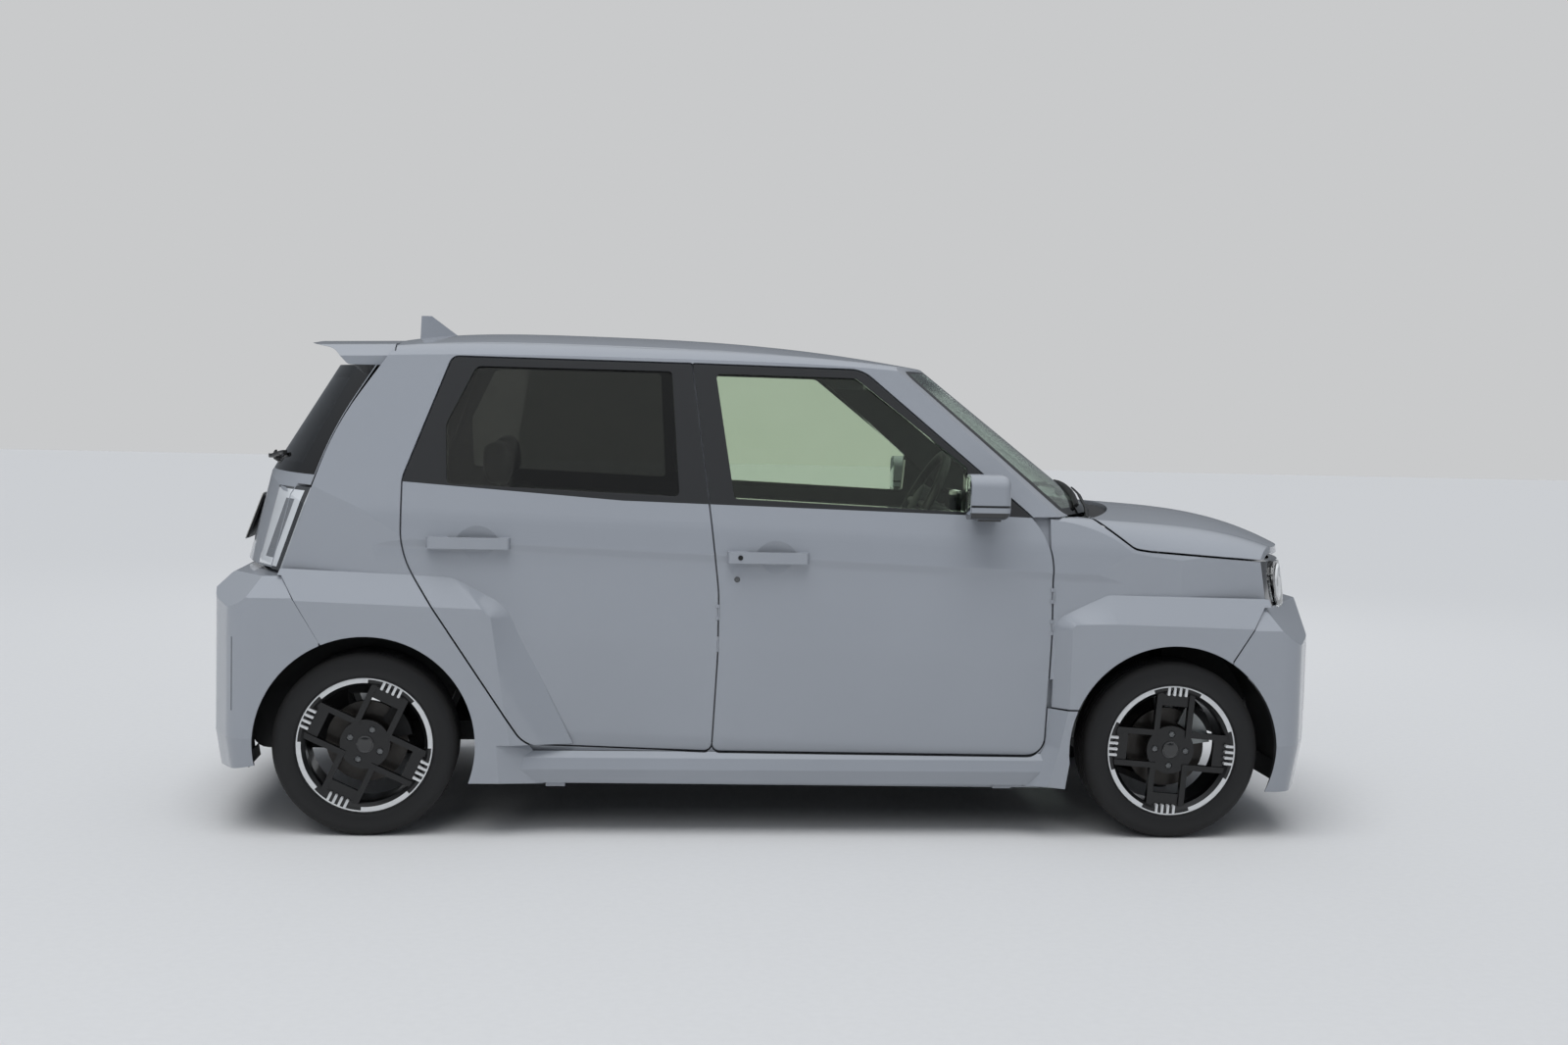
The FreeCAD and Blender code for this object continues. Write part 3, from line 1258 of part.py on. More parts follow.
def tyre(axle_x):
    half = TYRE_W / 2
    seat_half = RIM_W / 2 - 9
    side = (
        (seat_half, RIM_SEAT_R, 0.0),
        (seat_half, RIM_R + 1, 0.0),
        (half - 8, RIM_R + 2, 0.0),
        (half, 0.5 * (RIM_R + TYRE_R) - 4, 40.0),
        (half - 8, TYRE_R - 10, 12.0),
        (half - 26, TYRE_R, 30.0),
    )
    outer = [(WHEEL_Y + a, b, r) for a, b, r in side]
    inner = [(WHEEL_Y - a, b, r) for a, b, r in reversed(side)]
    return turned(outer + inner, axle_x)


def rim(axle_x, turn_deg):
    lip = RIM_W / 2
    barrel = (
        (WHEEL_Y + lip, RIM_R, 0.0),
        (WHEEL_Y + lip - 8, RIM_R, 0.0),
        (WHEEL_Y + lip - 9, RIM_SEAT_R, 0.0),
        (WHEEL_Y - lip + 9, RIM_SEAT_R, 0.0),
        (WHEEL_Y - lip + 8, RIM_R, 0.0),
        (WHEEL_Y - lip, RIM_R, 0.0),
        (WHEEL_Y - lip, BARREL_R + 5, 0.0),
        (WHEEL_Y + lip - 40, BARREL_R, 0.0),
        (WHEEL_Y + lip - 14, BARREL_R + 2, 0.0),
        (WHEEL_Y + lip, RIM_SEAT_R + 2, 0.0),
    )
    parts = [turned(barrel, axle_x)]
    spoke_out = WHEEL_Y + lip - 8
    parts.append(wheel_hole(axle_x, HUB_R, -SPOKE_FACE_Y, -HUB_FACE_Y))
    for fork in range(FORK_COUNT):
        angle = 360.0 / FORK_COUNT * fork
        pieces = []
        for side in (-1, 1):
            offset = side * FORK_HALF
            arm = block(axle_x + FORK_HALF - ARM_W / 2, axle_x + RIM_SEAT_R - 8, -spoke_out, -HUB_FACE_Y,
                        AXLE_Z + offset - ARM_W / 2, AXLE_Z + offset + ARM_W / 2)
            pieces.append(arm)
        web = block(axle_x + WEB_FROM_R, axle_x + RIM_SEAT_R - 8, -spoke_out + WEB_RECESS, -HUB_FACE_Y,
                    AXLE_Z - FORK_HALF, AXLE_Z + FORK_HALF)
        pieces.append(web)
        star = fused(pieces)
        star.rotate(V(axle_x, 0, AXLE_Z), V(0, 1, 0), -angle)
        parts.append(star)
    body = fused(parts).common(turned(RIM_LIMIT, axle_x))
    for fork in range(FORK_COUNT):
        angle = math.radians(360.0 / FORK_COUNT * fork)
        centre = V(axle_x + NUT_CIRCLE_D / 2 * math.cos(angle), -SPOKE_FACE_Y - 5,
                   AXLE_Z + NUT_CIRCLE_D / 2 * math.sin(angle))
        body = body.cut(Part.makeCylinder(NUT_R, 12, centre, V(0, 1, 0)))
    body = body.fuse(wheel_hole(axle_x, CAP_R, -SPOKE_FACE_Y - 3, -SPOKE_FACE_Y + 1))
    body = body.fuse(wheel_hole(axle_x, DISC_HAT_R, -HUB_FACE_Y - 0.5, -DISC_Y + 1))
    body = body.fuse(wheel_hole(axle_x, DISC_R, -DISC_Y, -DISC_Y + DISC_T))
    body = body.fuse(wheel_hole(axle_x, BEARING_R - 4, -DISC_Y, bearing_out - SEAT_GAP))
    body.rotate(V(axle_x, 0, AXLE_Z), V(0, 1, 0), turn_deg)
    return body


for name, axle_x, turn_deg in (("front", FRONT_AXLE_X, FRONT_WHEEL_TURN_DEG), ("rear", REAR_AXLE_X, REAR_WHEEL_TURN_DEG)):
    wheel_tyre = tyre(axle_x)
    wheel_rim = rim(axle_x, turn_deg)
    write("tyre_" + name + "_right", wheel_tyre)
    write("tyre_" + name + "_left", mirrored(wheel_tyre))
    write("rim_" + name + "_right", wheel_rim)
    write("rim_" + name + "_left", mirrored(wheel_rim))

# Dashboard with the steering column, seats and steering wheel
dash = side_plate(DASH, -INNER_Y, INNER_Y)
centre = V(*STEERING_CENTRE)
tilt = math.radians(STEERING_TILT_DEG)
column_way = V(math.cos(tilt), 0, -math.sin(tilt))
shaft = rod(centre + column_way * 45, centre + column_way * 330, 32)
write("dashboard", dash.fuse(shaft))
ring = Part.makeTorus(WHEEL_RIM_R, 15, centre, column_way)
hub = rod(centre - column_way * 6, centre + column_way * (45 - SEAT_GAP), 38)
spokes = []
cross = V(0, 1, 0)
down = column_way.cross(cross)
if down.z > 0:
    down = down * -1
for direction in (cross, cross * -1, down):
    spokes.append(rod(centre + direction * 20, centre + direction * (WHEEL_RIM_R - 4), 11))
write("steering_wheel", fused([ring, hub] + spokes))


def seat(profile, rest, width, y_middle, base):
    y_from = y_middle - width / 2
    y_to = y_middle + width / 2
    shell = side_plate(profile, y_from, y_to)
    head = side_plate(rest, y_middle - 130, y_middle + 130)
    x_low = sum(p[0] for p in rest) / len(rest)
    z_low = min(p[1] for p in rest)
    posts = [rod(V(x_low, y_middle + off, z_low + 20), V(x_low + 26, y_middle + off, z_low - 90), 7)
             for off in (-60, 60)]
    x_from, x_to, z_from, z_to = base
    foot = block(x_from, x_to, y_from + 40, y_to - 40, z_from, z_to)
    return fused([shell, head, foot] + posts)


front_seat = seat(SEAT_PROFILE, HEAD_REST, SEAT_W, -SEAT_Y, (20, 400, FLOOR_Z + FLOOR_T, 370))
rear_bench = side_plate([(x + REAR_SEAT_SHIFT[0], z + REAR_SEAT_SHIFT[1], r) for x, z, r in SEAT_PROFILE],
                        -REAR_SEAT_Y, REAR_SEAT_Y)
rear_parts = [rear_bench, block(-700, -300, -REAR_SEAT_Y + 40, REAR_SEAT_Y - 40, FLOOR_Z + FLOOR_T, 400)]
for y_middle in (-SEAT_Y, SEAT_Y):
    rest = [(x + REAR_SEAT_SHIFT[0], z + REAR_SEAT_SHIFT[1] - 20, r) for x, z, r in HEAD_REST]
    rear_parts.append(side_plate(rest, y_middle - 120, y_middle + 120))
    x_low = sum(p[0] for p in rest) / len(rest)
    z_low = min(p[1] for p in rest)
    rear_parts.append(rod(V(x_low, y_middle, z_low + 20), V(x_low + 26, y_middle, z_low - 90), 9))
write("seats", Part.makeCompound([clean(front_seat), clean(mirrored(front_seat)), clean(fused(rear_parts))]))
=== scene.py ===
# %% [markdown]
# A small electric hatchback with boxed wheel arches, dressed for the camera.
# The CAD model comes in as a fixed frame: each panel is already at its place, in metres,
# with X towards the nose, Y to the left and Z up. Here it gets its finishes, and the small
# pieces that are easier to model as meshes: tyres, seats, wipers, lamp insides and trim.

# %% Load the frame
import bmesh
import bpy
import math
from mathutils import Matrix, Vector


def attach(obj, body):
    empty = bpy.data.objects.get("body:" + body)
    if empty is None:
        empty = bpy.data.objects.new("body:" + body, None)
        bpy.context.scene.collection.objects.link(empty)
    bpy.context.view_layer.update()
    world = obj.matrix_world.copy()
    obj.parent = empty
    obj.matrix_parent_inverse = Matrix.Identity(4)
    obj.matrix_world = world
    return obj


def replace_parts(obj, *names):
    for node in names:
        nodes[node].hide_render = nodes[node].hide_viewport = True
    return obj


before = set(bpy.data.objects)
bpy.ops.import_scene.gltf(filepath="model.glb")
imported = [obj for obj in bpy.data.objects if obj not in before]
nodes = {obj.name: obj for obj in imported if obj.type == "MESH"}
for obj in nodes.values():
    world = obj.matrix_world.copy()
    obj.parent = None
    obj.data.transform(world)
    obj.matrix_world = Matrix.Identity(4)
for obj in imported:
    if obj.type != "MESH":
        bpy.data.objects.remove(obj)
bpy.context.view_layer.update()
scene = bpy.context.scene

# %% [markdown]
# The camera stands where the photographer stood: about 6.8 m from the car's middle, at eye
# height, a little behind the car's centre and turned a few degrees towards the nose. It was
# found by fitting the wheel centres and the tyre size, so the lens follows from the wheelbase.

# %% Camera
PHOTO_WIDTH = 1600
FOCAL_PIXELS = 2023.0
CAMERA_AT = Vector((-0.570, -6.846, 1.392))
YAW, PITCH, ROLL = (math.radians(a) for a in (-5.35, -3.82, 1.36))

lens = bpy.data.cameras.new("camera")
lens.sensor_width = 36.0
lens.lens = FOCAL_PIXELS / PHOTO_WIDTH * lens.sensor_width
camera = bpy.data.objects.new("camera", lens)
bpy.context.collection.objects.link(camera)
camera.matrix_world = (
    Matrix.Translation(CAMERA_AT)
    @ Matrix.Rotation(YAW, 4, "Z")
    @ Matrix.Rotation(math.radians(90) + PITCH, 4, "X")
    @ Matrix.Rotation(ROLL, 4, "Z")
)
scene.camera = camera
scene.view_settings.view_transform = "Standard"
print("lens", round(lens.lens, 1), "mm")

# %% [markdown]
# Colours are written as sRGB hex values, as a paint chart would give them, and one function
# turns them to the linear values that the shaders expect. A second small function adds a
# shader node, sets it and links it, so each finish below reads from top to bottom.


# %% Colour and shader helpers
def linear(hex_colour):
    """An sRGB hex colour as linear red, green, blue and alpha."""
    parts = [int(hex_colour[i:i + 2], 16) / 255 for i in (1, 3, 5)]
    return tuple(p / 12.92 if p <= 0.04045 else ((p + 0.055) / 1.055) ** 2.4 for p in parts) + (1.0,)


def add(tree, kind, sockets=(), **settings):
    """Adds a node and gives its output in use; sockets go by name or number, or in a row."""
    made = tree.nodes.new("ShaderNode" + kind)
    for name, value in settings.items():
        setattr(made, name, value)
    for key, value in sockets.items() if isinstance(sockets, dict) else enumerate(sockets):
        if isinstance(value, bpy.types.NodeSocket):
            tree.links.new(value, made.inputs[key])
        else:
            made.inputs[key].default_value = value
    return next(output for output in made.outputs if output.enabled)


def new_finish(name, **values):
    """A material, its tree and its Object coordinates; underscores stand for spaces."""
    material = bpy.data.materials.new(name)
    material.use_nodes = True
    tree = material.node_tree
    for key, value in values.items():
        tree.nodes["Principled BSDF"].inputs[key.replace("_", " ")].default_value = value
    return material, tree, add(tree, "TexCoord").node.outputs["Object"]


def feed(tree, **outputs):
    """Links outputs to the shader's inputs; underscores stand for spaces."""
    for key, output in outputs.items():
        tree.links.new(output, tree.nodes["Principled BSDF"].inputs[key.replace("_", " ")])


def toned(name, scale, detail, first, second, spread=None, **values):
    """A finish that drifts between two tones in clouds, scale of them to the metre."""
    material, tree, place = new_finish(name, **values)
    cloud = add(tree, "TexNoise", {"Vector": place, "Scale": scale, "Detail": detail})
    share = add(tree, "MapRange", (cloud, *spread)) if spread else cloud
    tone = add(tree, "Mix", {0: share, 6: linear(first), 7: linear(second)}, data_type="RGBA")
    feed(tree, Base_Color=tone)
    return material, tree, place, cloud, tone


FAR = 10.0


def banded(tree, colour, source, low, high, hex_colour):
    """The colour so far, with another one where the source lies between low and high."""
    inside = add(tree, "Math", (source, (low + high) / 2, (high - low) / 2), operation="COMPARE")
    return add(tree, "Mix", {0: inside, 6: colour, 7: linear(hex_colour)}, data_type="RGBA")


def waves(tree, source, pitch):
    """A sine of the source that repeats after each pitch."""
    turns = add(tree, "Math", (source, 2 * math.pi / pitch), operation="MULTIPLY")
    return add(tree, "Math", (turns,), operation="SINE")


# %% [markdown]
# The stage is a plain pale floor under a wide, soft sun and two fill lamps. Rays that only
# light the car, and those that mirror in it, meet a dimmer sky than the camera sees, because
# black paint and glass look black only where they have something dark to mirror. The lamps
# themselves stay out of the reflections, where their square edges would show.

# %% Floor, world and lamps
BACKDROP = linear("#c9cacb")
LAMPS_LOOK_AT = Vector((0, 0, 0.6))

bpy.ops.mesh.primitive_plane_add(size=60, location=(0, 0, 0))
floor = bpy.context.active_object
floor.name = "floor"
floor.data.materials.append(toned("pale_floor", 40.0, 4.0, "#d4d5d6", "#dadbdc", Roughness=0.75)[0])

world = bpy.data.worlds.new("studio")
scene.world = world
world.use_nodes = True
tree = world.node_tree
rays = add(tree, "LightPath").node.outputs
upward = add(tree, "SeparateXYZ", (add(tree, "TexCoord").node.outputs["Generated"],)).node.outputs[2]
height = add(tree, "MapRange", (upward, 0.25, 0.9))
mirrored = add(tree, "Mix", {0: height, 6: linear("#696d72"), 7: linear("#f4f7fb")}, data_type="RGBA")
air = add(tree, "Mix", {0: rays["Is Glossy Ray"], 6: linear("#999da3"), 7: mirrored}, data_type="RGBA")
seen = add(tree, "Math", (rays["Is Camera Ray"], rays["Is Transmission Ray"]), operation="MAXIMUM")
air = add(tree, "Mix", {0: seen, 6: air, 7: BACKDROP}, data_type="RGBA")
tree.links.new(air, tree.nodes["Background"].inputs["Color"])
tree.nodes["Background"].inputs["Strength"].default_value = 1.0

for name, kind, at, size, power in (
    ("wide_sun", "SUN", (-1.0, -2.2, 8.0), math.radians(50), 1.9),
    ("fill_camera_side", "AREA", (-2.5, -7.5, 4.5), 3.0, 70.0),
    ("fill_far_side", "AREA", (1.0, 6.5, 3.5), 3.0, 40.0),
):
    lamp_data = bpy.data.lights.new(name, kind)
    lamp_data.energy = power
    setattr(lamp_data, "angle" if kind == "SUN" else "size", size)
    lamp = bpy.data.objects.new(name, lamp_data)
    bpy.context.collection.objects.link(lamp)
    lamp.location = at
    lamp.visible_glossy = False
    lamp.rotation_euler = (LAMPS_LOOK_AT - Vector(at)).to_track_quat("-Z", "Y").to_euler()
print("stage and three soft lamps")

# %% [markdown]
# Solid automotive paint: a pigmented base under a clear polyurethane coat. The base is
# matte, the coat gives the sharp gloss, and spray leaves a faint orange peel a few
# millimetres across. Panel edges are rounded, which the Bevel node imitates. A shell panel
# has trim on its cabin side: the sign of position against normal tells the two sides apart.
# A door's window frame is black above the belt line, which bends upwards behind its kink.

# %% Body paint
PAINT = "#9a9fa7"
PAINT_LOW = "#8c9198"
SASH = "#1b1c1e"
CABIN_TRIM = "#2b2c2e"
CABIN_MIDDLE = (-0.15, 0.0, 0.85)
CABIN_SIDE = -0.12
BELT_Z = 1.0275
BELT_FALL = 0.024
KINK_X = -0.5
KINK_RISE = 0.045


def body_paint(name, inside=None, sash_above=False, bands=(), endways=0.0):
    """Clear-coated paint; inside is the cabin trim's colour, and endways is 1 for end panels."""
    material, tree, place = new_finish(name, Roughness=0.42, Coat_Weight=0.85, Coat_Roughness=0.04)
    x, _, z = add(tree, "SeparateXYZ", (place,)).node.outputs
    cloud = add(tree, "TexNoise", {"Vector": place, "Scale": 2.2, "Detail": 2.0})
    low = add(tree, "MapRange", (z, 0.15, 0.75, 0.8, 0.2))
    share = add(tree, "Math", (cloud, low), operation="MULTIPLY")
    colour = add(tree, "Mix", {0: share, 6: linear(PAINT), 7: linear(PAINT_LOW)}, data_type="RGBA")
    if inside:
        reach = add(tree, "VectorMath", (place, CABIN_MIDDLE), operation="SUBTRACT")
        reach = add(tree, "VectorMath", (reach, (endways, 1.0, 1.0)), operation="MULTIPLY")
        normal = add(tree, "NewGeometry").node.outputs["Normal"]
        facing = add(tree, "VectorMath", (reach, normal), operation="DOT_PRODUCT")
        colour = banded(tree, colour, facing, -FAR, CABIN_SIDE, inside)
    if sash_above:
        slope = add(tree, "Math", (x, BELT_FALL, -BELT_Z), operation="MULTIPLY_ADD")
        behind = add(tree, "Math", (x, -1.0, KINK_X), operation="MULTIPLY_ADD")
        behind = add(tree, "Math", (behind, 0.0), operation="MAXIMUM")
        rise = add(tree, "Math", (behind, -KINK_RISE, slope), operation="MULTIPLY_ADD")
        above = add(tree, "Math", (z, rise), operation="ADD")
        colour = banded(tree, colour, above, 0.0, FAR, SASH)
    for low_z, high_z, band in bands:
        colour = banded(tree, colour, z, low_z, high_z, band)
    # Orange peel about 4 mm across, far too shallow to see but for the way it breaks highlights.
    peel = add(tree, "TexNoise", {"Vector": place, "Scale": 250.0, "Detail": 1.0})
    round_edge = add(tree, "Bevel", {"Radius": 0.003}, samples=4)
    bump = add(tree, "Bump", {"Strength": 0.02, "Distance": 0.001, "Height": peel, "Normal": round_edge})
    feed(tree, Base_Color=colour, Normal=bump)
    return material


def dress(material, *names):
    """Gives CAD nodes a finish in place of the plain one they came with."""
    for name in names:
        mesh_object = nodes[name]
        if not mesh_object.material_slots:
            mesh_object.data.materials.append(material)
        for slot in mesh_object.material_slots:
            slot.material = material


def each_side(*stems):
    return [stem + side for stem in stems for side in ("_right", "_left")]


dress(body_paint("paint_outer"), "hood", "spoiler")
dress(body_paint("paint_shell", inside=CABIN_TRIM), *each_side("body_side", "fender"))
dress(body_paint("paint_ends", inside=CABIN_TRIM, endways=1.0), "tailgate", "front_bumper", "rear_bumper")
dress(body_paint("paint_roof", inside="#a9a8a4"), "roof")
dress(body_paint("paint_door", inside=CABIN_TRIM, sash_above=True), *each_side("door_front", "door_rear"))
dress(body_paint("paint_mirror", bands=((0.98, 1.030, SASH), (1.046, 1.053, SASH))), *each_side("mirror"))
print("painted panels dressed")

# %% [markdown]
# Side glass is toughened float glass, 4 mm thick, with a pale green cast from its iron.
# The rear windows are privacy glass, dyed dark grey. The windscreen is laminated, with a
# green shade band along its top. The screens have a black ceramic border that hides the glue.

# %% Glass
PANE_TAPER = 0.23
CERAMIC = "#050505"


def glass(name, tint, shade=None, border=None):
    """A clear pane; shade is (height, colour) of a band above, border is (half width, low, high)."""
    material, tree, place, _, colour = toned(name, 6.0, 2.0, *tint, Roughness=0.01, IOR=1.45,
                                             Transmission_Weight=1.0)
    _, y, z = add(tree, "SeparateXYZ", (place,)).node.outputs
    if shade:
        ramp = add(tree, "MapRange", (z, shade[0] - 0.02, shade[0] + 0.02))
        colour = add(tree, "Mix", {0: ramp, 6: colour, 7: linear(shade[1])}, data_type="RGBA")
    if border:
        half, low, high = border
        spread = add(tree, "Math", (y,), operation="ABSOLUTE")
        lean = add(tree, "Math", (z, PANE_TAPER, spread), operation="MULTIPLY_ADD")
        for source, start, stop in ((lean, half, FAR), (z, -FAR, low), (z, high, FAR)):
            colour = banded(tree, colour, source, start, stop, CERAMIC)
    feed(tree, Base_Color=colour)
    return material


dress(glass("float_glass_green", ("#e0ecda", "#e4efdf")), *each_side("glass_front"))
dress(glass("privacy_glass", ("#6c6e69", "#72746f")), *each_side("glass_rear"))
dress(glass("laminated_windscreen", ("#dbeae0", "#e0eee4"), shade=(1.40, "#6f8078"),
            border=(0.855, 1.035, 1.455)), "windscreen")
dress(glass("tailgate_privacy_glass", ("#34363a", "#3a3c40"), border=(0.80, 1.13, 1.40)), "tailgate_glass")
print("panes dressed")

# %% [markdown]
# Black parts differ mainly in gloss: piano-black lamp panels, satin moulded trim, and the
# grained polypropylene of the cowl, whose skin has pebbles about a millimetre across.


# %% Plastics
def moulded(name, hex_colour, roughness, grain_mm, depth, coat=0.0, darker="#0b0b0c"):
    """Moulded plastic with a pebble grain of a size in millimetres."""
    material, tree, place, _, _ = toned(name, 5.0, 3.0, hex_colour, darker, (0.3, 0.8, 0.0, 0.35),
                                        Roughness=roughness, Coat_Weight=coat, Coat_Roughness=0.05)
    pebbles = add(tree, "TexVoronoi", {"Vector": place, "Scale": 1000.0 / grain_mm}, feature="SMOOTH_F1")
    bump = add(tree, "Bump", {"Strength": depth, "Distance": 0.0005, "Height": pebbles})
    feed(tree, Normal=bump)
    return material


piano_black = moulded("piano_black", "#0c0d0e", 0.12, 3.0, 0.01, coat=1.0)
satin_black = moulded("satin_black_trim", "#161718", 0.42, 1.4, 0.10)
grained_black = moulded("grained_polypropylene", "#1d1e1f", 0.62, 1.2, 0.35)
dash_soft = moulded("soft_dashboard_skin", "#232427", 0.6, 1.6, 0.3)
# Painted shade: this darker grey stands for the shade inside the slots of the bumper corners.
slot_shade_grey = moulded("corner_strip_grey", "#6b7075", 0.4, 2.0, 0.05, coat=0.4, darker="#5f6469")
dress(piano_black, "front_panel")
dress(grained_black, "cowl")
dress(dash_soft, "dashboard")
dress(moulded("stitched_leather", "#1a1a1b", 0.5, 1.8, 0.35), "steering_wheel")
print("plastics dressed")

# %% [markdown]
# Under the car the steel floor has a dull electrophoretic primer with stone-chip coating,
# the battery case is cast and coated, and the suspension is black-painted forged steel with
# road dust. The brake caliper is bare cast aluminium, which shows silver between the spokes,
# while the knuckle's arm above the tyre gets painted shade: black, as dark as the shaded
# wheel house round it.

# %% Metal parts
KNUCKLE_ARM_Z = 0.46


def metal(name, hex_colour, dust, metallic, roughness, grain_mm, painted_shade_above=None):
    """Painted or cast metal with a dusty, uneven surface, and painted shade in black above the height
    given.
    """
    material, tree, place, cloud, colour = toned(name, 14.0, 5.0, hex_colour, dust,
                                                 (0.45, 0.75, 0.0, 0.6), Metallic=metallic)
    rough = add(tree, "MapRange", {0: cloud, 3: roughness - 0.1, 4: roughness + 0.2})
    if painted_shade_above is not None:
        # Painted shade: black above this height, where the wheel house shades the part.
        height = add(tree, "SeparateXYZ", (place,)).node.outputs[2]
        colour = banded(tree, colour, height, painted_shade_above, FAR, "#0c0c0c")
    cast = add(tree, "TexNoise", {"Vector": place, "Scale": 1000.0 / grain_mm, "Detail": 3.0})
    bump = add(tree, "Bump", {"Strength": 0.25, "Distance": 0.0008, "Height": cast})
    feed(tree, Base_Color=colour, Roughness=rough, Normal=bump)
    return material


CAST = ("#a4a8a8", "#7e7f7b", 1.0, 0.38, 1.5)
dress(metal("primed_floor_steel", "#232425", "#37342f", 0.0, 0.7, 3.0),
      "floor_pan", "front_frame", "rear_frame")
dress(metal("painted_forged_steel", "#1b1b1c", "#3a352e", 0.2, 0.6, 2.5), "front_suspension", "rear_axle")
dress(metal("cast_aluminium", *CAST), "drive_unit")
dress(metal("cast_knuckle", *CAST, painted_shade_above=KNUCKLE_ARM_Z), *each_side("knuckle"))
dress(metal("coated_battery_case", "#3a3c3e", "#2c2b29", 0.6, 0.55, 4.0), "battery_pack")
print("running gear dressed")

# %% [markdown]
# The wheels are cast aluminium in gloss black. Each CAD rim also carries its brake disc, a
# grey iron ring with fine turning marks, so the finish changes by the distance from the
# axle and by the depth inside the wheel.

# %% Wheel finish
AXLE_Z = 0.281
FRONT_X = 1.250
REAR_X = -1.270
WHEEL_Y = 0.6825
DISC_R = 0.1262
DISC_Y = 0.7325


def from_axle(tree, place, axle_x):
    """How far a point of a wheel lies from its axle."""
    centred = add(tree, "VectorMath", (place, (axle_x, 0.0, AXLE_Z)), operation="SUBTRACT")
    flat = add(tree, "VectorMath", (centred, (1.0, 0.0, 1.0)), operation="MULTIPLY")
    return add(tree, "VectorMath", (flat,), operation="LENGTH")


def wheel_black(name, axle_x):
    """Gloss black casting outside, turned grey iron where the brake disc sits."""
    material, tree, place = new_finish(name, Coat_Weight=0.2, Coat_Roughness=0.06)
    radius = from_axle(tree, place, axle_x)
    across = add(tree, "SeparateXYZ", (place,)).node.outputs[1]
    depth = add(tree, "Math", (across,), operation="ABSOLUTE")
    near = add(tree, "Math", (radius, DISC_R), operation="LESS_THAN")
    inner = add(tree, "Math", (depth, DISC_Y), operation="LESS_THAN")
    iron = add(tree, "Math", (near, inner), operation="MULTIPLY")
    rust = add(tree, "TexNoise", {"Vector": place, "Scale": 30.0, "Detail": 4.0})
    worn = add(tree, "Mix", {0: rust, 6: linear("#4a4846"), 7: linear("#37332f")}, data_type="RGBA")
    colour = add(tree, "Mix", {0: iron, 6: linear("#060607"), 7: worn}, data_type="RGBA")
    rough = add(tree, "Mix", {0: iron, 2: 0.3, 3: 0.45}, data_type="FLOAT")
    # Turning marks 0.8 mm apart round the disc; the casting keeps a little sand texture.
    marks = add(tree, "Math", (waves(tree, radius, 0.0008), iron), operation="MULTIPLY")
    sand = add(tree, "TexNoise", {"Vector": place, "Scale": 700.0, "Detail": 2.0})
    height = add(tree, "Math", (marks, sand), operation="ADD")
    bump = add(tree, "Bump", {"Strength": 0.05, "Distance": 0.0004, "Height": height})
    feed(tree, Base_Color=colour, Metallic=iron, Roughness=rough, Normal=bump)
    return material


dress(wheel_black("gloss_black_wheel_front", FRONT_X), *each_side("rim_front"))
dress(wheel_black("gloss_black_wheel_rear", REAR_X), *each_side("rim_rear"))
print("wheels dressed")

# %% [markdown]
# Lamps have clear polycarbonate outside. The CAD lamps are solid where the real ones are
# thin shells, so the clear plastic has a low index here: then the insides, which are
# modelled as pieces, look as they do behind a thin cover and not as through a lens.

# %% Lamp plastics
TAIL_EDGE_X = -1.8374
TAIL_EDGE_LEAN = 0.3707

clear_cover = toned("clear_polycarbonate", 12.0, 2.0, "#eef1f2", "#e4e8ea", Roughness=0.02, IOR=1.08,
                    Transmission_Weight=1.0, Coat_Weight=0.8, Coat_Roughness=0.03)[0]
dress(clear_cover, "headlamps")

tail_lens, tree, place = new_finish("frosted_tail_lens", Roughness=0.25, Coat_Weight=1.0,
                                    Coat_Roughness=0.04)
x, y, z = add(tree, "SeparateXYZ", (place,)).node.outputs
# Light guide ribs stand upright inside the lens, 9 mm apart.
ribs = add(tree, "MapRange", (waves(tree, y, 0.009), -1.0, 1.0))
colour = add(tree, "Mix", {0: ribs, 6: linear("#6f7378"), 7: linear("#888c91")}, data_type="RGBA")
# Frames are bands by the distance behind the lamp's sloping front edge, and by height.
edge_x = add(tree, "Math", (z, TAIL_EDGE_LEAN, TAIL_EDGE_X), operation="MULTIPLY_ADD")
behind = add(tree, "Math", (edge_x, x), operation="SUBTRACT")
for source, low, high, band in (
    (behind, 0.020, 0.046, "#e4e8ec"), (behind, 0.080, 0.4, "#e4e8ec"),
    (z, 1.022, 1.2, "#e4e8ec"), (z, 0.6, 0.836, "#e4e8ec"),
    (z, 1.050, 1.2, "#2c2f33"), (z, 0.6, 0.812, "#2c2f33"),
    (behind, 0.005, 0.022, "#232528"), (behind, -0.05, 0.005, "#b9bdc2"),
):
    colour = banded(tree, colour, source, low, high, band)
feed(tree, Base_Color=colour)
dress(tail_lens, "tail_lamps")
print("lamp covers dressed")

# %% [markdown]
# From here on, new pieces are modelled the way one would by hand: a primitive at its place,
# shaped in edit mode, then finished with modifiers. The helpers start with nothing selected,
# pick faces by their place and normal, settle a piece at the origin with its finish, its
# smooth shading and the body it moves with, and mirror it to the left side.


# %% Modelling helpers
def edit_mode():
    bpy.ops.object.mode_set(mode="EDIT")


def object_mode():
    if bpy.context.mode != "OBJECT":
        bpy.ops.object.mode_set(mode="OBJECT")


def clear_selection():
    object_mode()
    bpy.ops.object.select_all(action="DESELECT")


def start_edit(name):
    """Names the new primitive and opens it in edit mode."""
    piece = bpy.context.active_object
    piece.name = name
    bpy.ops.object.transform_apply()
    edit_mode()
    bpy.ops.mesh.select_mode(type="FACE")
    return piece


def pick(test):
    """Selects the faces whose centre and normal pass the test, and no others."""
    mesh = bmesh.from_edit_mesh(bpy.context.edit_object.data)
    count = 0
    for face in mesh.faces:
        chosen = bool(test(face.calc_center_median(), face.normal))
        face.select_set(chosen)
        count += chosen
    mesh.select_flush_mode()
    bmesh.update_edit_mesh(bpy.context.edit_object.data)
    return count


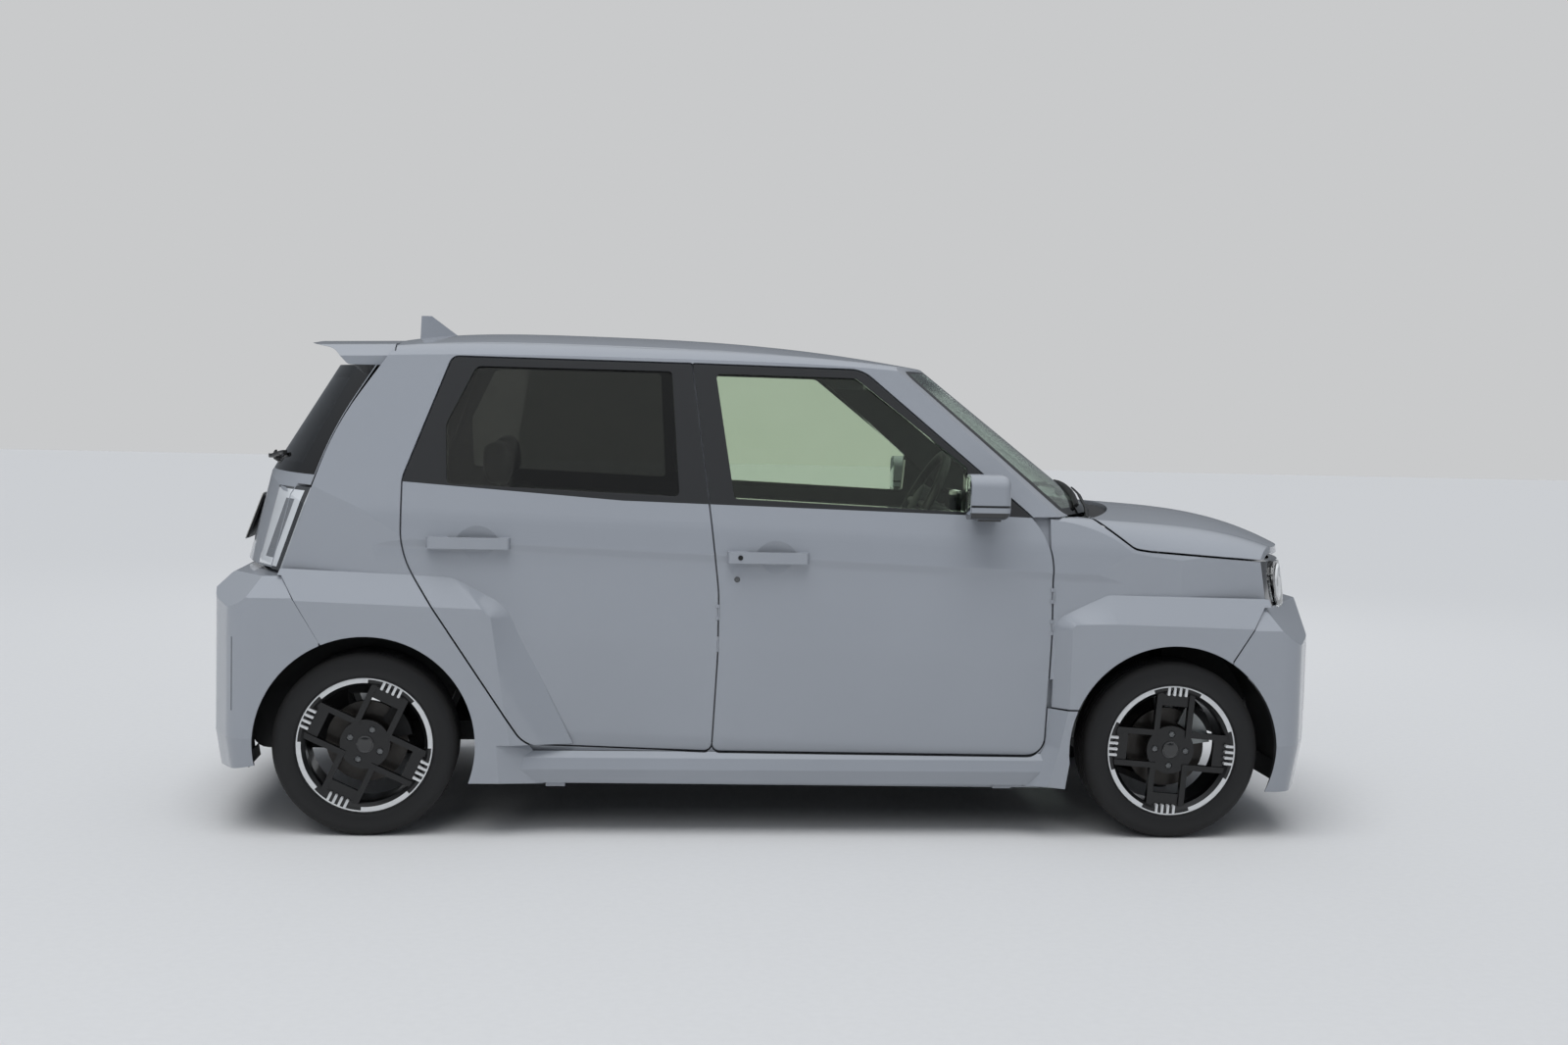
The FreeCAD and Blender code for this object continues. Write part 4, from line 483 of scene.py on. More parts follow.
def face_outwards():
    bpy.ops.mesh.select_all(action="SELECT")
    bpy.ops.mesh.normals_make_consistent()


def apply_modifier(piece, kind, **settings):
    modifier = piece.modifiers.new(kind.lower(), kind)
    for name, value in settings.items():
        setattr(modifier, name, value)
    bpy.ops.object.modifier_apply(modifier=modifier.name)


def settle(piece, finish, body="body", smooth_deg=35):
    """Closes a piece: applied place, smooth shading, finish and body."""
    clear_selection()
    piece.select_set(True)
    bpy.context.view_layer.objects.active = piece
    bpy.ops.object.transform_apply()
    bpy.ops.object.shade_smooth_by_angle(angle=math.radians(smooth_deg))
    piece.data.materials.clear()
    piece.data.materials.append(finish)
    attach(piece, body)
    return piece


def copy_piece(piece, name, move, body):
    """A copy with its own mesh, moved by a matrix; a mirrored one is turned right side out."""
    twin = piece.copy()
    twin.data = piece.data.copy()
    twin.name = name
    twin.parent = None
    twin.matrix_world = Matrix.Identity(4)
    bpy.context.collection.objects.link(twin)
    twin.data.transform(move)
    if move.determinant() < 0:
        twin.data.flip_normals()
    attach(twin, body)
    return twin


def both_sides(piece, finish, body="body", smooth_deg=35):
    """Settles a right-hand piece, and gives its mirror image on the left and its body there."""
    settle(piece, finish, body, smooth_deg)
    name, body = (text.replace("_right", "_left") for text in (piece.name, body))
    return copy_piece(piece, name, MIRROR_Y, body)


STAY = Matrix.Identity(4)
MIRROR_Y = Matrix.Scale(-1, 4, (0, 1, 0))
TO_REAR_AXLE = Matrix.Translation((REAR_X - FRONT_X, 0, 0))

# %% [markdown]
# A tyre starts as a cylinder as wide as its tread. Each cap is inset and moved outwards
# step by step, which draws the sidewall: shoulder, bulge, rim protector and bead. Four
# grooves run round the tread, cut with bisect planes and sunk by an extrusion, and the ribs
# between them are inset one by one, so that narrow cross grooves part them into blocks.

# %% Tyres
TYRE_R = 0.281
TREAD_HALF = 0.066
SIDEWALL = (
    (0.0022, 0.0070), (0.0045, 0.0080), (0.0080, 0.0058), (0.0130, 0.0038), (0.0140, 0.0014),
    (0.0120, -0.0004), (0.0100, -0.0022), (0.0052, -0.0030), (0.0020, 0.0016), (0.0022, -0.0030),
    (0.0024, -0.0060), (0.0145, -0.0080),
)
GROOVE_AT = (-0.044, -0.015, 0.015, 0.044)
GROOVE_HALF = 0.0042
GROOVE_DEPTH = 0.0065
BLOCK_GAP = 0.0011


def radius_of(centre):
    return math.hypot(centre.x - FRONT_X, centre.z - AXLE_Z)


def on_tread(centre, normal, grooved):
    """Whether a face lies on the tread: in a groove, or else on a rib."""
    in_groove = any(abs(centre.y + WHEEL_Y - g) < GROOVE_HALF for g in GROOVE_AT)
    return abs(normal.y) < 0.05 and radius_of(centre) > TYRE_R - 0.003 and in_groove == grooved


clear_selection()
bpy.ops.mesh.primitive_cylinder_add(vertices=120, radius=TYRE_R - 0.0004, depth=2 * TREAD_HALF,
                                    location=(FRONT_X, -WHEEL_Y, AXLE_Z), rotation=(math.radians(90), 0, 0))
tyre = start_edit("tyre_front_right_dressed")
for side in (-1, 1):
    for inward, outward in SIDEWALL:
        pick(lambda centre, normal: normal.y * side > 0.999 and abs(centre.x - FRONT_X) < 1e-4)
        bpy.ops.mesh.inset(thickness=inward, depth=outward)
    pick(lambda centre, normal: normal.y * side > 0.99 and radius_of(centre) < 0.01)
    bpy.ops.mesh.delete(type="FACE")
for groove in GROOVE_AT:
    for edge in (-GROOVE_HALF, GROOVE_HALF):
        bpy.ops.mesh.select_all(action="SELECT")
        bpy.ops.mesh.bisect(plane_co=(FRONT_X, -WHEEL_Y + groove + edge, AXLE_Z), plane_no=(0, 1, 0))
blocks = pick(lambda centre, normal: on_tread(centre, normal, False))
bpy.ops.mesh.inset(thickness=BLOCK_GAP, depth=0.0, use_individual=True)
pick(lambda centre, normal: on_tread(centre, normal, True))
bpy.ops.mesh.extrude_region_shrink_fatten(TRANSFORM_OT_shrink_fatten={"value": -GROOVE_DEPTH})
object_mode()
print("tyre:", blocks, "tread blocks,", len(tyre.data.polygons), "faces")

# %% [markdown]
# Rubber is black but never pure black: carbon-filled compound weathers to a dark grey, more
# matte on the tread than on the moulded sidewall, with fine moulded ribs near the shoulder.


# %% Tyre rubber
def rubber(name, axle_x):
    material, tree, place = new_finish(name)
    radius = from_axle(tree, place, axle_x)
    dust = add(tree, "TexNoise", {"Vector": place, "Scale": 9.0, "Detail": 4.0})
    edge = add(tree, "MapRange", (radius, 0.262, 0.279, 0.0, 0.6))
    share = add(tree, "Math", (dust, edge), operation="MULTIPLY")
    colour = add(tree, "Mix", {0: share, 6: linear("#151516"), 7: linear("#2e2c2a")}, data_type="RGBA")
    rough = add(tree, "MapRange", (radius, 0.25, 0.28, 0.55, 0.8))
    # Moulded rings 3 mm apart on the sidewall, and a fine compound grain everywhere.
    zone = add(tree, "MapRange", (radius, 0.252, 0.256, 0.0, 0.5))
    stop = add(tree, "MapRange", (radius, 0.268, 0.272, 1.0, 0.0))
    rings = add(tree, "Math", (waves(tree, radius, 0.003), zone), operation="MULTIPLY")
    rings = add(tree, "Math", (rings, stop), operation="MULTIPLY")
    grain = add(tree, "TexNoise", {"Vector": place, "Scale": 600.0, "Detail": 2.0})
    height = add(tree, "Math", (rings, grain), operation="ADD")
    bump = add(tree, "Bump", {"Strength": 0.25, "Distance": 0.0006, "Height": height})
    feed(tree, Base_Color=colour, Roughness=rough, Normal=bump)
    return material


rubber_front = rubber("tyre_rubber_front", FRONT_X)
rubber_rear = rubber("tyre_rubber_rear", REAR_X)
settle(tyre, rubber_front, "front_wheel_right", smooth_deg=30)
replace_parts(tyre, "tyre_front_right")
for name, move, body, compound in (
    ("tyre_front_left", MIRROR_Y, "front_wheel_left", rubber_front),
    ("tyre_rear_right", TO_REAR_AXLE, "rear_wheel_right", rubber_rear),
    ("tyre_rear_left", MIRROR_Y @ TO_REAR_AXLE, "rear_wheel_left", rubber_rear),
):
    twin = copy_piece(tyre, name + "_dressed", move, body)
    twin.data.materials[0] = compound
    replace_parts(twin, name)
print("four tyres")

# %% [markdown]
# A few more helpers cover the hard trim. A rounded slab is a box whose long edges get a
# corner radius. A turned piece starts as a disc whose front face is inset and moved step by
# step, as a lathe cuts it. A swept bar follows points, and a profile is drawn as a ring of
# corners and pulled across the car. Places on curved skin are found by rays shot at the car.


# %% Slabs, turned pieces, swept bars and profiles
def pick_edges(test):
    """Selects the edges whose direction passes the test, and no others."""
    bpy.ops.mesh.select_mode(type="EDGE")
    bpy.ops.mesh.select_all(action="DESELECT")
    mesh = bmesh.from_edit_mesh(bpy.context.edit_object.data)
    for edge in mesh.edges:
        a, b = (vertex.co for vertex in edge.verts)
        edge.select_set(bool(test((b - a).normalized())))
    bmesh.update_edit_mesh(bpy.context.edit_object.data)


def rounded_slab(name, low, high, along, corner, rim=0.0008):
    """A box between two corners; its edges along one axis are rounded, its rims bevelled."""
    clear_selection()
    bpy.ops.mesh.primitive_cube_add(size=1, location=[(a + b) / 2 for a, b in zip(low, high)])
    bpy.context.active_object.scale = [b - a for a, b in zip(low, high)]
    piece = start_edit(name)
    pick_edges(lambda way: abs(way[along]) > 0.99)
    bpy.ops.mesh.bevel(offset=corner, segments=5, affect="EDGES")
    pick_edges(lambda way: abs(way[along]) < 0.01)
    bpy.ops.mesh.bevel(offset=rim, segments=2, affect="EDGES")
    object_mode()
    return piece


def turned(name, face_at, axis, radius, depth, steps, vertices=48):
    """A round piece whose face stands at face_at and looks along axis; a step is (inward, outward)."""
    clear_selection()
    face_at = Vector(face_at)
    axis = Vector(axis).normalized()
    bpy.ops.mesh.primitive_cylinder_add(vertices=vertices, radius=radius, depth=depth,
                                        location=face_at - axis * depth / 2,
                                        rotation=axis.to_track_quat("Z", "Y").to_euler())
    piece = start_edit(name)
    for inward, outward in steps:
        pick(lambda centre, normal: normal.dot(axis) > 0.99
             and (centre - face_at).cross(axis).length < 1e-4)
        bpy.ops.mesh.inset(thickness=inward, depth=outward)
    object_mode()
    return piece


def swept(name, points, side, across, thick, rim=0.001):
    """A bar through points, as wide as across along side and as thick as thick the other way."""
    clear_selection()
    way = (points[1] - points[0]).normalized()
    side = (side - way * side.dot(way)).normalized()
    end = Matrix((side, way.cross(side), way)).transposed()
    bpy.ops.mesh.primitive_plane_add(size=1, location=points[0], rotation=end.to_euler())
    bpy.context.active_object.scale = (across, thick, 1)
    piece = start_edit(name)
    bpy.ops.mesh.select_all(action="SELECT")
    for a, b in zip(points, points[1:]):
        bpy.ops.mesh.extrude_region_move(TRANSFORM_OT_translate={"value": b - a})
    face_outwards()
    object_mode()
    apply_modifier(piece, "BEVEL", width=rim, segments=2)
    return piece


def profile(name, corners, y_from, y_to, rounding):
    """A side outline of x and z corners, pulled from one y to another and rounded all over."""
    clear_selection()
    bpy.ops.mesh.primitive_circle_add(vertices=len(corners), fill_type="NGON", location=(0, 0, 0))
    piece = start_edit(name)
    mesh = bmesh.from_edit_mesh(piece.data)
    for vertex, (x, z) in zip(mesh.verts, corners):
        vertex.co = (x, y_from, z)
    bmesh.update_edit_mesh(piece.data)
    bpy.ops.mesh.select_all(action="SELECT")
    bpy.ops.mesh.extrude_region_move(TRANSFORM_OT_translate={"value": (0, y_to - y_from, 0)})
    face_outwards()
    object_mode()
    apply_modifier(piece, "BEVEL", width=rounding, segments=4)
    return piece


def skin_at(origin, way):
    """Where a ray from outside first meets the car, and the normal of its skin there."""
    bpy.context.view_layer.update()
    seen_at = scene.ray_cast(bpy.context.evaluated_depsgraph_get(), Vector(origin), Vector(way))
    return seen_at[1], seen_at[2]


def on_side(x, z, lift):
    """A point just off the right side of the car."""
    return skin_at((x, -1.5, z), (0, 1, 0))[0] + Vector((0, -lift, 0))


def on_tail(y, z, lift):
    """A point just off the tail of the car."""
    at, normal = skin_at((-3.0, y, z), (1, 0, 0))
    return at + normal * lift


print("trim helpers ready")

# %% [markdown]
# The bright face of each wheel is cut on a lathe after the casting is painted black: a ring
# on the lip, widened between the forks, and four short bars in every fork. The ring comes
# from an inset and bridged disc whose inner wall is pushed in where it widens. One bar is
# bevelled, repeated in a row, and spun in copies round the axle.

# %% Bright wheel trim
LIP_Y = 0.7645
RING_R = 0.2062
RING_THIN = 0.0042
RING_WIDER = 0.0108
WIDE_HALF_DEG = 23
BAR_Y = (-0.7655, -0.7485)
BAR_FROM_R = 0.174
BAR_W = 0.0085
BAR_PITCH = 0.0185

machined, tree, place, _, _ = toned("machined_aluminium", 60.0, 3.0, "#e9eaeb", "#d3d5d6",
                                    Metallic=0.55, Roughness=0.32)
# Facing cuts leave lines 0.5 mm apart.
lines = add(tree, "TexWave", {"Vector": place, "Scale": 320.0}, bands_direction="DIAGONAL")
feed(tree, Normal=add(tree, "Bump", {"Strength": 0.05, "Distance": 0.0002, "Height": lines}))


def off_diagonal(centre):
    """Degrees between a point round the axle and the nearest diagonal."""
    return 45 - abs((math.degrees(math.atan2(centre.z, centre.x)) - 45) % 90 - 45)


def round_the_axle():
    """Repeats the active piece's mesh in all four quarters of a wheel."""
    edit_mode()
    bpy.ops.mesh.select_all(action="SELECT")
    bpy.ops.mesh.spin(steps=3, dupli=True, angle=math.radians(270), center=(0, 0, 0), axis=(0, 1, 0))
    object_mode()


clear_selection()
bpy.ops.mesh.primitive_cylinder_add(vertices=144, radius=RING_R, depth=0.0022,
                                    location=(0, -LIP_Y - 0.0004, 0), rotation=(math.radians(90), 0, 0))
ring = start_edit("bright_ring")
pick(lambda centre, normal: abs(normal.y) > 0.9)
bpy.ops.mesh.inset(thickness=RING_THIN)
bpy.ops.mesh.bridge_edge_loops()
face_outwards()
widened = pick(lambda centre, normal: abs(normal.y) < 0.1 and off_diagonal(centre) < WIDE_HALF_DEG
               and math.hypot(centre.x, centre.z) < RING_R - 0.003)
bpy.ops.mesh.extrude_region_shrink_fatten(TRANSFORM_OT_shrink_fatten={"value": RING_WIDER})
object_mode()
apply_modifier(ring, "BEVEL", width=0.0003, segments=1)

bar = rounded_slab("bright_bars", (-1.5 * BAR_PITCH - BAR_W / 2, BAR_Y[0], BAR_FROM_R),
                   (-1.5 * BAR_PITCH + BAR_W / 2, BAR_Y[1], RING_R - RING_THIN + 0.001), 1, 0.003)
apply_modifier(bar, "ARRAY", count=4, use_relative_offset=False, use_constant_offset=True,
               constant_offset_displace=(BAR_PITCH, 0, 0))
round_the_axle()
print("bright ring widened over", widened, "faces;", len(bar.data.polygons), "faces of bars")

# %% [markdown]
# The hub carries a blank centre cap with a shallow dish, and four wheel nuts deep in their
# bores. A nut is a six-sided disc with a turned collar and a chamfer. The photographed
# wheels stand at different angles, which the trim follows.

# %% Centre cap and wheel nuts
CAP_Y = -0.7545
NUT_Y = -0.7505
NUT_CIRCLE_R = 0.05
REAR_TURN_DEG = 25.0
FRONT_TURN_DEG = 4.3

satin_metal, tree, _, cloud, _ = toned("zinc_plated_steel", 90.0, 4.0, "#8f9192", "#5e6061", Metallic=1.0)
feed(tree, Roughness=add(tree, "MapRange", {0: cloud, 3: 0.25, 4: 0.5}))

cap = turned("cap", (0, CAP_Y, 0), (0, -1, 0), 0.0265, 0.004,
             ((0.0015, 0.0012), (0.002, 0.0), (0.0012, -0.0012), (0.006, 0.0006), (0.008, 0.0006)), 64)
nut = turned("nuts", (NUT_CIRCLE_R, NUT_Y, 0), (0, -1, 0), 0.0095, 0.009,
             ((0.0012, 0.0007), (0.0015, 0.0), (0.0005, -0.001)), 6)
round_the_axle()

for piece, finish in ((ring, machined), (bar, machined), (cap, piano_black), (nut, satin_metal)):
    for end, turn_deg, axle_x in (("rear", REAR_TURN_DEG, REAR_X), ("front", FRONT_TURN_DEG, FRONT_X)):
        stand = Matrix.Translation((axle_x, 0, AXLE_Z)) @ Matrix.Rotation(math.radians(turn_deg), 4, "Y")
        for side, flip in (("left", MIRROR_Y), ("right", STAY)):
            wheel = end + "_wheel_" + side
            twin = copy_piece(piece, "trim_" + end + "_" + side + "_" + piece.name, flip @ stand, wheel)
            settle(twin, finish, wheel)
    bpy.data.objects.remove(piece)
print("wheel trim on four wheels")

# %% [markdown]
# Behind each round lamp glass sits a black bowl, a ring that lights as one circle, and a
# projector barrel in the middle. All three are turned about the lamp's own axis, which
# points 25 degrees outwards.

# %% Headlamp insides
LAMP_AT = Vector((1.6447, -0.545, 0.803))
LAMP_TURN = math.radians(25)
LAMP_WAY = Vector((math.cos(LAMP_TURN), -math.sin(LAMP_TURN), 0))

ring_white = toned("ring_light_diffuser", 120.0, 2.0, "#f3f4f5", "#dcdfe2", Roughness=0.35,
                   Coat_Weight=0.5)[0]
for name, finish, ahead, radius, depth, steps in (
    ("bowl", piano_black, 0.002, 0.062, 0.05,
     ((0.003, 0.0), (0.012, -0.012), (0.014, -0.02), (0.006, 0.0))),
    ("ring", ring_white, 0.006, 0.061, 0.006,
     ((0.0015, 0.002), (0.007, 0.0), (0.0015, -0.002), (0.003, -0.008))),
    ("projector", satin_metal, -0.004, 0.030, 0.024,
     ((0.002, 0.0), (0.002, -0.003), (0.004, 0.004), (0.008, 0.004), (0.008, 0.002))),
):
    piece = turned("headlamp_" + name + "_right", LAMP_AT + LAMP_WAY * ahead, LAMP_WAY, radius, depth,
                   steps, 48 if name == "projector" else 64)
    both_sides(piece, finish)
print("headlamp insides")

# %% [markdown]
# Two wipers rest along the foot of the windscreen. Their blades follow the bowed glass, so
# their points are laid on the same cylinder the screen was cut from, a few millimetres above
# it. Each has a tapering arm with a pivot cap on the cowl.

# %% Wipers
SCREEN_FOOT = Vector((1.055, 0, 1.057))
SCREEN_UP = Vector((-0.792, 0, 0.611))
SCREEN_OUT = Vector((0.611, 0, 0.792))
SCREEN_R = 1.8
PIVOT_STEPS = ((0.002, 0.001), (0.003, 0.002), (0.004, 0.001))


def on_screen(y, up, lift):
    """A point on the windscreen: y across, up along the glass from its foot, lift above it."""
    fall = SCREEN_R - math.sqrt(SCREEN_R ** 2 - y ** 2)
    return SCREEN_FOOT + SCREEN_UP * up + SCREEN_OUT * (lift - fall) + Vector((0, y, 0))


for name, y_tip, y_pivot in (("driver", 0.02, -0.56), ("passenger", 0.58, 0.04)):
    reach = [y_pivot + (y_tip - y_pivot) * step / 8 for step in range(9)]
    for part, up, lift, size in (("blade_", 0.045, 0.010, (0.012, 0.014)),
                                 ("rubber_", 0.046, 0.0022, (0.003, 0.004, 0.0004))):
        line = [on_screen(y, up, lift) for y in reach[1:]]
        settle(swept("wiper_" + part + name, line, SCREEN_UP, *size), grained_black)
    bends = [on_screen(reach[step], up, lift) for step, up, lift in
             ((0, 0.004, 0.012), (1, 0.014, 0.022), (3, 0.030, 0.024), (4, 0.043, 0.022))]
    settle(swept("wiper_arm_" + name, bends, SCREEN_UP, 0.014, 0.006), satin_black)
    pivot = turned("wiper_pivot_" + name, on_screen(reach[0], 0.004, 0.018), SCREEN_OUT, 0.014, 0.030,
                   PIVOT_STEPS, 32)
    settle(pivot, satin_black)
print("two front wipers")

# %% [markdown]
# The rear wiper has its pivot low on the tailgate glass and lies across it. Its points come
# from rays shot at the tail, lifted a little off the surface.

# %% Rear wiper
UPRIGHT = Vector((0, 0, 1))
ACROSS = Vector((0, 1, 0))
TAIL_OUT = skin_at((-3.0, 0.0, 1.16), (1, 0, 0))[1]

bends = [on_tail(0.0, 1.118, 0.024), on_tail(-0.06, 1.124, 0.026), on_tail(-0.17, 1.137, 0.022)]
rear_arm = swept("rear_wiper_arm", bends, UPRIGHT, 0.016, 0.007)
reach = [on_tail(-0.02 - 0.06 * step, 1.130 + 0.004 * step, 0.010) for step in range(6)]
rear_blade = swept("rear_wiper_blade", reach, UPRIGHT, 0.012, 0.014)
rear_pivot = turned("rear_wiper_pivot", on_tail(0.0, 1.118, 0.026), TAIL_OUT, 0.015, 0.030, PIVOT_STEPS, 32)
for piece in (rear_arm, rear_blade, rear_pivot):
    settle(piece, satin_black, "tailgate")
print("rear wiper")

# %% [markdown]
# Each tail lamp runs on a little way across the tailgate as a thin lens. It is a flat grid
# whose points are set on the bowed tail by rays, then given a wall. The grid itself is
# hidden meanwhile, so that no ray meets it.

# %% Tail lamp panels on the tailgate
LENS_FROM = (-0.593, 0.81)
LENS_SIZE = (0.123, 0.247)

clear_selection()
bpy.ops.mesh.primitive_grid_add(x_subdivisions=9, y_subdivisions=13, size=1)
lens_panel = start_edit("tail_lamp_panel_right")
object_mode()
lens_panel.hide_set(True)
for vertex in lens_panel.data.vertices:
    y, z = (start + size * (at + 0.5) for start, size, at in zip(LENS_FROM, LENS_SIZE, vertex.co))
    vertex.co = on_tail(y, z, 0.0006)
lens_panel.hide_set(False)
lens_panel.select_set(True)
bpy.context.view_layer.objects.active = lens_panel
apply_modifier(lens_panel, "SOLIDIFY", thickness=0.0022, offset=1.0)
apply_modifier(lens_panel, "BEVEL", width=0.0006, segments=2)
both_sides(lens_panel, tail_lens, "tailgate")
print("lens panels of", len(lens_panel.data.polygons), "faces")

# %% [markdown]
# Black splash guards carry the wheel houses on downwards, ahead of each front wheel and
# behind each rear one. They stand partly for real liners and partly for painted shade: a dark
# sheet where the wheel houses lie in shadow. Each is a strip laid round an arc about the axle.
# A flat inner guard closes the gap beside each rear wheel.

# %% Splash guards
GUARD_R = 0.357
GUARD_Y = -0.640

for end, axle_x, start, stop in (("front", FRONT_X, -6, -16), ("rear", REAR_X, 186, 192)):
    angles = [math.radians(start + (stop - start) * step / 8) for step in range(9)]
    line = [Vector((axle_x + GUARD_R * math.cos(a), GUARD_Y, AXLE_Z + GUARD_R * math.sin(a)))
            for a in angles]
    # Partly painted shade: the black strip also fills in the shadow round the wheel.
    guard = swept("splash_guard_" + end + "_right", line, ACROSS, 0.21, 0.004)
    both_sides(guard, grained_black)
inner = rounded_slab("inner_guard_rear_right", (-1.640, -0.560, 0.235), (-1.345, -0.556, 0.470), 1, 0.05)
both_sides(inner, grained_black)
print("six guards")

# %% [markdown]
# Small outside fittings: silvered mirror panes, the lock caps under the front handles, the
# key cylinder in the right one, and darker grey strips sunk into the bumper corners, which
# are painted shade for the slots there.

# %% Outside fittings
silvered = toned("silvered_glass", 25.0, 2.0, "#c9ced3", "#bcc2c8", Metallic=1.0, Roughness=0.03)[0]
pane = rounded_slab("mirror_pane_right", (0.5642, -0.857, 1.022), (0.5668, -0.771, 1.138), 0, 0.022)
both_sides(pane, silvered, "front_door_right")

lock_cap = turned("door_lock_cap_right", on_side(-0.139, 0.802, 0.0012), (0, -1, 0), 0.009, 0.004,
                  ((0.0006, 0.0006), (0.0016, 0.0), (0.0008, -0.001), (0.003, 0.0003)), 32)
both_sides(lock_cap, satin_metal, "front_door_right")
key_ring = turned("key_cylinder_right", on_side(-0.132, 0.872, 0.0012), (0, -1, 0), 0.0078, 0.004,
                  ((0.001, 0.0006), (0.002, -0.0006), (0.002, 0.0002)), 32)
settle(key_ring, satin_black, "front_door_right")

# Painted shade: thin darker grey strips show the slots in the bumper corners, whose darkness is shade.
for end, x_at in (("rear", -1.668), ("front", 1.735)):
    line = [on_side(x_at, 0.385 + 0.0375 * step, -0.0005) for step in range(7)]
    strip = swept("corner_strip_" + end + "_right", line, Vector((1, 0, 0)), 0.005, 0.003)
    both_sides(strip, slot_shade_grey)
print("outside fittings")

# %% [markdown]
# Number plates are blank pressed aluminium with a raised rim, each held by two cap screws
# on a plastic holder. The front one sits in the flat seat of the bumper, the rear one on the
# tailgate, leaning as it does.

# %% Number plates
PLATE_HALF = 0.165
PLATE_TALL = 0.165
PLATE_T = 0.003
HOLDER_INSET = 0.006
HOLDER_BACK = 0.010
FRONT_PLATE_X = 1.7845
FRONT_PLATE_Z = 0.4405
TAIL_PLATE_Z = 0.850
TAIL_PLATE_OFF = 0.011
TAIL_LEAN_DEG = 20.3

plate_white = toned("painted_plate", 9.0, 3.0, "#dddcd6", "#d2d1cb", Roughness=0.35, Coat_Weight=0.3)[0]
tail_at = on_tail(0.0, TAIL_PLATE_Z + PLATE_TALL / 2, 0.0)
lean = (Matrix.Translation(tail_at) @ Matrix.Rotation(math.radians(TAIL_LEAN_DEG), 4, "Y")
        @ Matrix.Translation(-tail_at))
for end, x_face, z_low, way, body, stand in (
    ("front", FRONT_PLATE_X, FRONT_PLATE_Z, 1, "body", STAY),
    ("rear", tail_at.x - TAIL_PLATE_OFF, TAIL_PLATE_Z, -1, "tailgate", lean),
):
    seam = x_face - way * PLATE_T
    low, high = sorted((x_face - way * HOLDER_BACK, seam))
    holder = rounded_slab("plate_holder_" + end, (low, HOLDER_INSET - PLATE_HALF, z_low + HOLDER_INSET),
                          (high, PLATE_HALF - HOLDER_INSET, z_low + PLATE_TALL - HOLDER_INSET), 0, 0.008)
    low, high = sorted((seam, x_face))
    plate = rounded_slab("plate_" + end, (low, -PLATE_HALF, z_low), (high, PLATE_HALF, z_low + PLATE_TALL),
                         0, 0.012)
    edit_mode()
    bpy.ops.mesh.select_mode(type="FACE")
    pick(lambda centre, normal: normal.x * way > 0.99 and abs(centre.y) < 0.02)
    bpy.ops.mesh.inset(thickness=0.005)
    bpy.ops.mesh.inset(thickness=0.001, depth=-0.0008)
    object_mode()
    fittings = [(holder, satin_black, "black_trim"), (plate, plate_white, "painted_plastic")]
    for side, y in (("_right", -0.105), ("_left", 0.105)):
        screw = turned("plate_screw_" + end + side, (x_face + way * 0.0012, y, z_low + PLATE_TALL - 0.016),
                       (way, 0, 0), 0.007, 0.004, ((0.001, 0.0008), (0.003, 0.0004)), 24)
        fittings.append((screw, satin_metal, "painted_plastic"))
    for piece, finish, slot in fittings:
        piece.data.transform(stand)
        settle(piece, finish, body)
print("two number plates")

# %% [markdown]
# The seats have foam cushions under a sewn cloth cover. Each cushion starts as a rounded
# profile, is remeshed to small even squares and blown up as cloth with a little pressure,
# so that its faces crown and its edges stay soft.

# %% Seat cloth and padding
PAD_PRESSURE = 4.0
PAD_FRAMES = 20
PAD_SQUARE = 0.011
PAD_SHRINK = 0.006
PAD_ROUNDING = 0.035

seat_weave, tree, place, _, _ = toned("woven_seat_cloth", 7.0, 4.0, "#303234", "#3d3f41",
                                      Roughness=0.85, Sheen_Weight=0.3)
# Yarns 1.6 mm apart each way.
x, y, _ = add(tree, "SeparateXYZ", (place,)).node.outputs
weave = add(tree, "Math", (waves(tree, x, 0.0016), waves(tree, y, 0.0016)), operation="MULTIPLY")
feed(tree, Normal=add(tree, "Bump", {"Strength": 0.3, "Distance": 0.0005, "Height": weave}))


def padding(name, corners, y_from, y_to, rounding, cap_mm):
    """A cushion blown up from a rounded profile that starts a little smaller than its cover."""
    middle_x, middle_z = (sum(values) / len(corners) for values in zip(*corners))
    smaller = [(x + math.copysign(PAD_SHRINK, middle_x - x), z + math.copysign(PAD_SHRINK, middle_z - z))
               for x, z in corners]
    pad = profile(name, smaller, y_from + PAD_SHRINK, y_to - PAD_SHRINK, rounding)
    apply_modifier(pad, "REMESH", mode="VOXEL", voxel_size=PAD_SQUARE)
    flat = [vertex.co.copy() for vertex in pad.data.vertices]
    cloth = pad.modifiers.new("cloth", "CLOTH")
    cloth.settings.use_pressure = True
    cloth.settings.uniform_pressure_force = PAD_PRESSURE
    cloth.settings.effector_weights.gravity = 0.0
    cloth.point_cache.frame_start = 1
    cloth.point_cache.frame_end = PAD_FRAMES
    for frame_number in range(1, PAD_FRAMES + 1):
        scene.frame_set(frame_number)
    bpy.ops.object.modifier_apply(modifier=cloth.name)
    scene.frame_set(1)
    for vertex, before in zip(pad.data.vertices, flat):
        moved = vertex.co - before
        if moved.length > cap_mm / 1000:
            vertex.co = before + moved.normalized() * cap_mm / 1000
    apply_modifier(pad, "SMOOTH", factor=0.5, iterations=3)
    apply_modifier(pad, "SUBSURF", levels=1)
    return pad


SEAT_Y = -0.335
FRONT_CUSHION = ((-0.040, 0.352), (0.440, 0.360), (0.440, 0.470), (-0.010, 0.456))
FRONT_BACK = ((-0.070, 0.400), (0.030, 0.440), (-0.185, 1.030), (-0.285, 1.020))
FRONT_HEAD = ((-0.300, 1.060), (-0.205, 1.068), (-0.222, 1.215), (-0.312, 1.205))
REAR_X_SHIFT = -0.640
REAR_Z_SHIFT = 0.020
BENCH_HALF = 0.600

